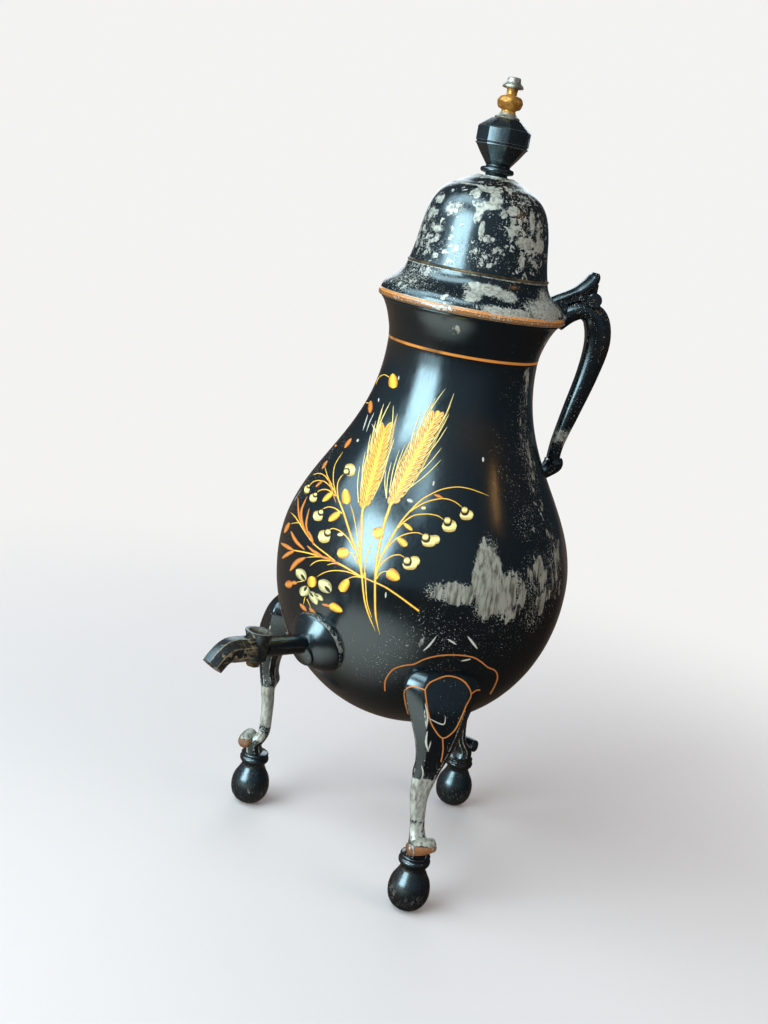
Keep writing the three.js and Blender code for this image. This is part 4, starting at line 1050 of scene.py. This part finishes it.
PAINTS = {
    "gold": paint("gold_paint", (0.90, 0.58, 0.06, 1), (0.54, 0.19, 0.012, 1)),
    "wheat": paint("wheat_paint", (0.88, 0.66, 0.22, 1), (0.56, 0.25, 0.02, 1)),
    "cream": paint("cream_paint", (0.85, 0.74, 0.30, 1), (0.50, 0.33, 0.08, 1)),
    "pale": paint("pale_paint", (0.72, 0.66, 0.32, 1), (0.32, 0.27, 0.11, 1)),
    "orange": paint("orange_paint", (0.66, 0.24, 0.04, 1), (0.32, 0.08, 0.015, 1)),
    "line": paint("line_paint", (0.55, 0.19, 0.03, 1), (0.35, 0.10, 0.015, 1)),
    "shadow": paint("shadow_paint", (0.02, 0.018, 0.012, 1), (0.03, 0.02, 0.01, 1)),
    "scratch": paint("scratch_pewter", (0.56, 0.56, 0.48, 1), (0.23, 0.215, 0.17, 1)),
}
strokes = {tone: bmesh.new() for tone in PAINTS if tone != "line"}
print("paints:", list(PAINTS))

# %% Stems and sprays
STEMS = [
    ([(363.5, 504), (362, 517), (361.3, 540), (361, 560), (362, 577), (364.5, 600), (369.5, 617), (375.5, 631)], 2.6),
    ([(365.2, 572), (366, 590), (367.5, 604), (372, 618)], 1.6),
    ([(391, 502), (388.5, 511), (385, 521), (381, 538), (377.5, 556), (375.4, 575), (375, 600), (376, 618),
      (380, 635)], 3.2),
    ([(419, 611), (400, 597), (385, 587), (374, 582), (364, 577.5), (357, 574)], 2.2),
    ([(375.5, 579), (379, 563), (386, 548), (393, 535), (401, 522), (411, 510), (424, 498), (440, 490)], 2.6),
    ([(424, 498), (440, 490), (457, 487), (472, 489.5), (489, 496)], 1.4),
    ([(409, 512), (424, 503), (438, 499), (447, 499), (456, 502.5), (463.5, 509)], 1.6),
    ([(398, 528), (405, 521), (414, 515.5), (427, 514), (438, 516), (445, 521)], 1.6),
    ([(384, 552), (391, 543.5), (399, 537), (409, 533.3), (419, 533), (425, 537)], 1.6),
    ([(379, 567), (384, 561.5), (389, 557.5), (395, 555), (401, 555.3), (406, 559)], 1.6),
    ([(376.5, 579), (380, 573.5), (385, 571.3), (389.5, 572.5)], 1.5),
    ([(364, 577), (365, 568), (368, 553), (373, 541)], 1.5),
    ([(362.5, 578), (360, 565), (356, 550), (350, 533), (345, 517), (340, 503), (335, 492)], 2.8),
    ([(336, 494), (330, 483), (325, 476), (319, 473.3), (313, 475)], 1.5),
    ([(338.5, 500), (337.3, 488), (339, 480), (343.5, 474)], 1.5),
    ([(336, 494), (333.3, 480), (335, 465), (343, 452)], 1.2),
    ([(332, 485), (327.5, 476), (325, 467)], 1.2),
    ([(333, 490), (326, 482.5), (319, 480.5), (313, 482), (309.5, 486)], 1.3),
    ([(336, 496), (328, 490), (321, 490), (317, 492.5)], 1.5),
    ([(342, 513.5), (335, 508.3), (328, 507), (322, 509.5)], 1.6),
    ([(354, 549), (348, 538.5), (340, 531), (333, 528.5), (328.5, 530.5)], 1.6),
    ([(357, 563), (353, 554.5), (347.5, 552)], 1.5),
    ([(361, 565), (358.5, 545), (355.5, 525), (353, 513), (350, 503)], 1.3),
    ([(362, 577.5), (348, 572), (335, 570.5), (325, 572.3), (316.5, 577)], 1.5),
    ([(362, 577.5), (354, 576.7), (347, 579)], 1.5),
    ([(363, 578), (345, 567), (333, 561), (320, 556.5), (308, 553), (295, 550.5), (287, 549)], 2.2),
    ([(335, 561), (325, 553), (315, 545), (307, 535), (300, 524), (294.5, 516), (290, 512)], 1.7),
    ([(325, 557), (315, 556.8), (306, 557.5)], 1.2),
    ([(340, 564), (333, 563.5), (327, 565)], 1.3),
    ([(333, 561), (322, 560.3), (315, 562), (310, 566)], 1.5),
    ([(304, 527), (300.5, 523.5), (296, 522.8), (290, 524)], 1.1),
    ([(389, 377), (384, 374.7), (379, 377.5), (376, 384)], 1.1),
    ([(369, 403), (365, 402.7)], 1.0),
    ([(305, 597), (303.5, 604)], 0.9),
    ([(307, 599), (311, 608)], 0.9),
    ([(305, 580.5), (296, 582.5)], 1.2),
]
for points, width in STEMS:
    stroke(strokes["gold"], points, width)
print(len(STEMS), "stems")

# %% Buds, leaves and berries
GOLD_BUDS = [
    ([(393, 373.5), (393.2, 388.5)], 8.5, "bud"), ([(345.3, 488.5), (346.8, 504.5)], 8.5, "bud"),
    ([(348.5, 579), (340.5, 591.5)], 9, "bud"), ([(342.5, 611.5), (329.5, 604.5)], 7.5, "bud"),
    ([(337, 553.5), (349, 552.5)], 11, "disc"), ([(399.5, 579.5), (387, 571)], 11, "bud"),
    ([(312, 576), (312, 587.5)], 9, "disc"), ([(333.5, 492), (322.5, 501.5)], 5.5, "leaf"),
    ([(340.5, 512), (328.5, 521)], 7, "leaf"), ([(438.5, 410.5), (436, 420)], 6, "disc"),
    ([(403.5, 523), (412.5, 530.5)], 4.5, "leaf"), ([(397, 537.5), (407, 546)], 6.5, "bud"),
    ([(372.5, 534.5), (384, 531.5)], 12, "disc"),
]
ORANGE_LEAVES = [
    ([(371, 400.5), (370, 413.5)], 5), ([(340, 438), (335, 447)], 3.6), ([(351.5, 438.5), (344.5, 448)], 4),
    ([(327.5, 460.5), (322.3, 469)], 3.2), ([(323.5, 480), (315.5, 487)], 2.6), ([(434, 494.5), (443, 498)], 3.4),
    ([(281, 543), (287, 546.5), (294, 550.5)], 4), ([(282, 558.5), (288, 554), (295, 550.5)], 4),
    ([(290, 571), (297, 562), (306, 557.5)], 5), ([(291, 531), (296, 541), (305, 550)], 3.6),
    ([(313.5, 545), (311.5, 538), (308.5, 531)], 3), ([(309, 538), (303, 525), (301.5, 511), (307.5, 496)], 2.8),
    ([(303, 528), (299, 515), (298, 497)], 2.2), ([(309, 536), (306.3, 524), (309.5, 508)], 2.2),
    ([(318.5, 556), (307, 545.5)], 2.6), ([(324, 557.5), (311, 549)], 2.6), ([(289.5, 522.5), (284.5, 533)], 4.2),
    ([(300, 603.5), (306.5, 611)], 4.2), ([(309.5, 607.5), (316.5, 616.5)], 4.2), ([(285, 584.5), (293, 584)], 8),
    ([(292, 582), (297, 583.5)], 4), ([(322, 604), (331, 606.5)], 3), ([(287, 512), (283, 521)], 2.6),
    ([(336, 503), (331, 487), (328, 478)], 1.8), ([(341, 566), (330, 559.5), (316, 555)], 3),
]
PETALS = [
    ([(305.5, 580.5), (301, 574), (296.5, 569.5)], 7.5), ([(307, 586), (304.5, 591), (301, 595.5)], 8),
    ([(330.5, 592.5), (325, 586), (319, 580.5)], 9.5), ([(309.5, 591.5), (313.5, 597), (317, 604.5)], 6),
    ([(314, 594), (319, 597), (323, 600.5)], 4),
]
BERRIES = [    # middle, half width, half height, and where its small crown sits
    ((466.5, 515), 7, 5.2, (-2, -4.5)), ((449.3, 526), 7.5, 6.3, (-2, -5)), ((429, 541), 7.5, 6, (-3.5, -3.5)),
    ((435, 539.5), 5, 4.6, None), ((410, 564.5), 7.5, 5.4, (-3, -3.5)), ((414.5, 561), 5.5, 5, None),
    ((350, 470), 5.6, 6.4, (-3.5, 2)), ((324.3, 536.5), 6.2, 6.5, (4, -4)), ((318, 516), 5, 5.2, (3.5, -3.5)),
    ((313.3, 498), 3.8, 4.2, (2.5, -3)), ((307, 489.5), 2.8, 4, (2, -3)), ((423.5, 508), 2.3, 1.8, None),
    ((340.5, 534.5), 3, 1.8, None),
]
PETAL_FULL, PETAL_SHADOW = 1.3, 0.35    # shares of a petal's width
for points, width, kind in GOLD_BUDS:
    stroke(strokes["gold"], points, width, kind, layer=1)
for points, width in ORANGE_LEAVES:
    stroke(strokes["orange"], points, width, "leaf", layer=1)
for points, width in PETALS:
    stroke(strokes["pale"], points, width * PETAL_FULL, "leaf", layer=1)
    stroke(strokes["shadow"], points[:2], width * PETAL_SHADOW, "leaf", layer=3)
CROWN, SHADOW_INWARDS = 0.52, 0.14    # the crown's share of a berry, and its shadow's shift to the middle


def dab(tone, x, y, half_width, tall, layer):
    """A round touch of the brush."""
    stroke(strokes[tone], [(x - half_width, y), (x + half_width, y)], tall, "disc", layer)


for (x, y), across, down, crown in BERRIES:
    dab("cream", x, y, across, down * 2, 1)
    if crown:
        top_x, top_y, size = x + crown[0], y + crown[1], across * CROWN
        low_x, low_y = top_x + (x - top_x) * SHADOW_INWARDS, top_y + (y - top_y) * SHADOW_INWARDS
        dab("shadow", low_x, low_y, size * 1.15, size * 2.5, 3)
        dab("cream", top_x, top_y - 0.4, size * 0.8, size * 1.7, 5)
print(len(GOLD_BUDS), "buds,", len(ORANGE_LEAVES), "leaves,", len(PETALS), "petals,", len(BERRIES), "berries")

# %% Wheat ears
EARS = [    # foot, tip, half width, tone, then the tips of its awns
    ((363, 510), (385.5, 428), 8.2, "gold",
     [(360, 466), (365.5, 452), (371, 434), (376, 421), (384, 404), (387, 409), (390.5, 402), (393.5, 405.5),
      (394.5, 438)]),
    ((390, 507), (436, 416), 9.2, "wheat",
     [(386, 470), (391.5, 462), (399.5, 450), (405.5, 444), (421, 412), (431.5, 402), (445, 389), (454, 393.5),
      (449, 414), (447, 427), (441.5, 448), (441, 460)]),
]
KERNELS, KERNEL_LONG, KERNEL_WIDE = 32, 8.5, 5.2     # in each ear, and in pixels of the picture
WIDEST_AT = 0.55    # share of the ear's length
EAR_FOOT, EAR_SWELL, EAR_TAPER = 0.45, 2.2, 0.9    # how broad it starts, widens and draws in
HAIR, HAIR_WIDE = ((10, 2.2), (21, 3)), 0.8        # along the ear and aside, in pixels
AWN_ROOTS, AWN_LONG = (0.06, 0.85), 0.42           # shares of the ear's length
AWN_WIDE, AWN_BOW = 1.25, 1.6                      # pixels
for foot, tip, half_width, tone, awns in EARS:
    foot, tip = Vector(foot), Vector(tip)
    along = (tip - foot).normalized()
    aside = Vector((-along.y, along.x))
    length = (tip - foot).length
    stroke(strokes["gold"], [foot, foot + along * length * 0.5, tip], half_width * 1.3, "leaf")
    for i in range(KERNELS):
        part = (i + 0.5) / KERNELS
        middle = foot + along * length * part
        spread = half_width * min(1, EAR_FOOT + EAR_SWELL * part) * (1 - EAR_TAPER * max(part - WIDEST_AT, 0))
        lean = aside * (spread if i % 2 else -spread)
        start, end = middle + lean * 0.02, middle + along * KERNEL_LONG + lean * 0.9
        stroke(strokes[tone], [start, (start + end) / 2 + lean * 0.22, end], KERNEL_WIDE, "leaf", layer=1 + i % 3)
        stroke(strokes["orange"], [start + lean * 0.25, end + lean * 0.1], 1.0, "leaf", layer=5)
        if i > 3 and i % 2 == 0:
            for edge in (aside * -1, aside):
                root = middle + edge * spread * 0.95
                hair = [root] + [root + along * far + edge * out for far, out in HAIR]
                stroke(strokes["wheat"], hair, HAIR_WIDE, "line", layer=1)
    for awn in map(Vector, awns):
        rooted_at = max(AWN_ROOTS[0], min(AWN_ROOTS[1], (awn - foot).dot(along) / length - AWN_LONG))
        side = 1 if (awn - foot).dot(aside) > 0 else -1
        root = foot + along * length * rooted_at + aside * side * half_width * 0.75
        middle = (root + awn) / 2 + aside * side * AWN_BOW
        stroke(strokes["cream"], [root, middle, awn], AWN_WIDE, "line", layer=2)
print(len(EARS), "wheat ears of", KERNELS, "kernels")

# %% Lines round the knee, and scratches
KNEE_LINES = [
    [(385, 691), (385.5, 680), (393, 669.5), (404, 665.5), (414, 664), (425, 659), (440, 655.5), (457.5, 655),
     (472, 657), (480, 661), (487.5, 667), (495, 670.5), (497.5, 677), (494.5, 686), (490, 694)],
    [(425, 690), (428, 684.5), (434, 680.5), (447.5, 676), (460, 679), (467.5, 685.5), (471, 695), (466, 706),
     (461, 718), (454, 731), (442.5, 738), (432.5, 726), (428.5, 714), (426.5, 702), (425, 690)],
    [(408, 714), (404.5, 698), (405.5, 689.5), (414, 686.5), (425, 690)],
    [(471, 694), (476, 690.5), (480, 690)],
    [(442.5, 738), (443, 750), (441, 762)],
]
SCRATCHES = [
    ([(368, 414.5), (363, 430.5)], 1.4), ([(366.5, 432), (369.5, 423), (374, 413)], 1.0),
    ([(372, 424), (378, 435.5)], 1.7), ([(358.5, 439), (357, 442)], 2.4),
    ([(423, 651), (430, 644.5), (436.5, 636)], 2.2), ([(447.5, 639), (456.5, 644.5)], 2.0),
    ([(467.5, 636), (477.5, 649)], 2.6), ([(461, 661), (471, 659)], 1.8),
    ([(427, 717), (437, 722.5), (444, 724), (445.5, 716)], 1.4),
    ([(399, 376), (398.5, 380)], 1.6), ([(379, 398), (378.5, 402)], 1.6), ([(386, 592), (385.5, 598)], 2.0),
    ([(434, 481), (433, 486)], 2.2), ([(483, 457), (483, 462)], 2.4), ([(407, 499.5), (413, 502)], 4.5),
    ([(425, 703), (427.5, 716), (426.5, 728)], 2.0), ([(427.5, 731), (426, 742), (428.5, 752)], 2.4),
    ([(431, 741), (428.5, 750)], 1.4), ([(421.5, 765), (423, 774), (419.5, 783)], 1.6),
    ([(432, 440), (437, 436.5)], 1.0),
]
knee_strokes = bmesh.new()
for points in KNEE_LINES:
    stroke(knee_strokes, points, 1.5, "even", layer=1)
for points, width in SCRATCHES:
    stroke(strokes["scratch"], points, width, "leaf", layer=1)
for side, direction in LEG_DIRECTIONS.items():
    swing = ON_AXIS @ rotated(direction - LEG_DIRECTIONS["right"], "Z") @ ON_AXIS.inverted()
    finished(f"knee_lines_{side}", knee_strokes.copy(), "urn", PAINTS["line"], [], swing, sharp=80)
knee_strokes.free()
for tone, bm in strokes.items():
    finished(f"painted_{tone}", bm, "urn", PAINTS[tone], [], AS_IT_STANDS, sharp=80)

# %% [markdown]
# ## Floor and light
# A pale floor stands in for the table. A photographer would light dark lacquer by what it
# mirrors: a tall window and the sky in front to the left, which show as a long highlight
# down the body, a skylight above for the knees and shoulders, a small warm strip on the
# right, and a dimmer window behind for the back. A fill on the right is not mirrored. In
# the lacquer the floor shows as a painted reflection, darker than it is, as the brown table
# was: an emission, dark to the right, lighter to the left, with a painted pool of window light before the urn.

# %% Floor
ROOM_LIGHT = 0.30          # what the pale surroundings add to the light on the urn
MIRRORED = (0.05, 0.22)    # and how much of them the lacquer mirrors, behind and before it
BACKDROP_SHOWN = 0.9
FLOOR_COLOUR, BACKDROP = (0.73, 0.665, 0.65, 1), (0.90, 0.895, 0.89, 1)
FLOOR_FADES = (0.24, 0.7)  # metres from the middle
# painted reflection: the colours glossy rays see on the floor right and left of the urn, and a glowing painted pool of
# window light
PAINTED_FLOOR_REFLECTIONS = ((0.035, 0.022, 0.015, 1), (0.17, 0.13, 0.10, 1))    # right of the urn, left of it
PAINTED_GLARE, PAINTED_GLARE_AT, PAINTED_GLARE_SIZE = (1.15, 1.1, 0.98, 1), (-0.01, -0.25), (0.25, 0.19)    # where the window lights it
floor_mesh = bmesh.new()
bmesh.ops.create_circle(floor_mesh, cap_ends=True, radius=4.0, segments=96)
floor_data = bpy.data.meshes.new("floor")
floor_mesh.to_mesh(floor_data)
floor_mesh.free()
shown("floor", floor_data)
floor_finish, tree = new_material("floor")
floor_data.materials.append(floor_finish)
set_shader(tree, {"Base Color": FLOOR_COLOUR, "Roughness": 0.8, "Specular IOR Level": 0.1})
place = add(tree, "TexCoord").outputs["Object"]
rays = add(tree, "LightPath").outputs
across, deep = add(tree, "SeparateXYZ", {0: place}).outputs[:2]
from_painted_glare = squares(tree, *(
    share(tree, value, middle, half) for value, middle, half in zip((across, deep), PAINTED_GLARE_AT, PAINTED_GLARE_SIZE)
))
# painted reflection of the floor, lighter on the left and glowing where the window would light it, seen only by glossy
# rays
painted_reflection = mixed(tree, ramped(tree, across, 0.12, -0.2), *PAINTED_FLOOR_REFLECTIONS)
painted_reflection = mixed(tree, ramped(tree, from_painted_glare, 1.4, 0.0), painted_reflection, PAINTED_GLARE)
painted_reflection = add(tree, "Emission", {"Color": painted_reflection, "Strength": 1.0}).outputs[0]
glow = add(tree, "Emission", {"Color": BACKDROP, "Strength": 1.0}).outputs[0]
fade = sums(tree, "MULTIPLY", ramped(tree, vectors(tree, "LENGTH", place), *FLOOR_FADES), rays["Is Camera Ray"])
blend = add(tree, "MixShader", {0: fade, 1: tree.nodes["Principled BSDF"].outputs[0], 2: glow}).outputs[0]
blend = add(tree, "MixShader", {0: rays["Is Glossy Ray"], 1: blend, 2: painted_reflection}).outputs[0]
tree.links.new(blend, tree.nodes["Material Output"].inputs["Surface"])
print("the floor fades into the backdrop between", FLOOR_FADES, "metres")

# %% Lamps
LAMPS = [    # name, direction, distance, height, height of its aim, width, height of it, watts, colour
    ("window", -6, 1.5, 0.70, 0.25, 0.92, 0.95, 28, (0.76, 0.93, 1.0)),
    ("sky", -46, 1.5, 1.30, 0.2, 1.0, 0.8, 8, (0.70, 0.88, 1.0)),
    ("skylight", -8, 0.85, 1.50, 0.1, 1.5, 0.5, 11, (0.78, 0.93, 1.0)),
    ("warm_strip", 108, 1.2, 1.20, 0.22, 0.10, 0.26, 0.42, (1.0, 0.42, 0.12)),
    ("back_window", 222, 1.5, 0.85, 0.25, 1.0, 1.0, 8, (0.85, 0.94, 1.0)),
    ("fill_right", 110, 1.5, 0.9, 0.2, 1.0, 1.0, 6, (1.0, 0.97, 0.93)),
]
for name, direction, distance, height, aim_height, width, tall, watts, colour in LAMPS:
    data = bpy.data.lights.new(name, "AREA")
    data.shape, data.size, data.size_y = "RECTANGLE", width, tall
    data.energy, data.color = watts, colour
    at = AXIS + towards(direction) * distance + Vector((0, 0, height))
    aim = AXIS + Vector((0, 0, aim_height)) - at
    lamp = shown(name, data)
    lamp.matrix_world = Matrix.Translation(at) @ aim.to_track_quat("-Z", "Y").to_matrix().to_4x4()
    lamp.visible_glossy = name != "fill_right"
print("lamps:", [row[0] for row in LAMPS])

# %% Surroundings
world = bpy.data.worlds.new("surroundings")
bpy.context.scene.world = world
world.use_nodes = True
tree = world.node_tree
rays = add(tree, "LightPath").outputs
straight = sums(tree, "MAXIMUM", rays["Is Camera Ray"], rays["Is Transmission Ray"])
before = vectors(tree, "DOT_PRODUCT", add(tree, "TexCoord").outputs["Generated"], towards(-5))
lit = between(tree, rays["Is Glossy Ray"], ROOM_LIGHT, ramped(tree, before, -0.5, 0.7, *MIRRORED))
background = tree.nodes["Background"].inputs
tree.links.new(between(tree, straight, lit, BACKDROP_SHOWN), background["Strength"])
surroundings = mixed(tree, rays["Is Glossy Ray"], (1.0, 0.995, 0.99, 1), (0.72, 0.86, 1.0, 1))
tree.links.new(surroundings, background["Color"])
bpy.context.scene.view_settings.view_transform = "Standard"
print("the lacquer mirrors", MIRRORED, "of the surroundings, behind and before it")
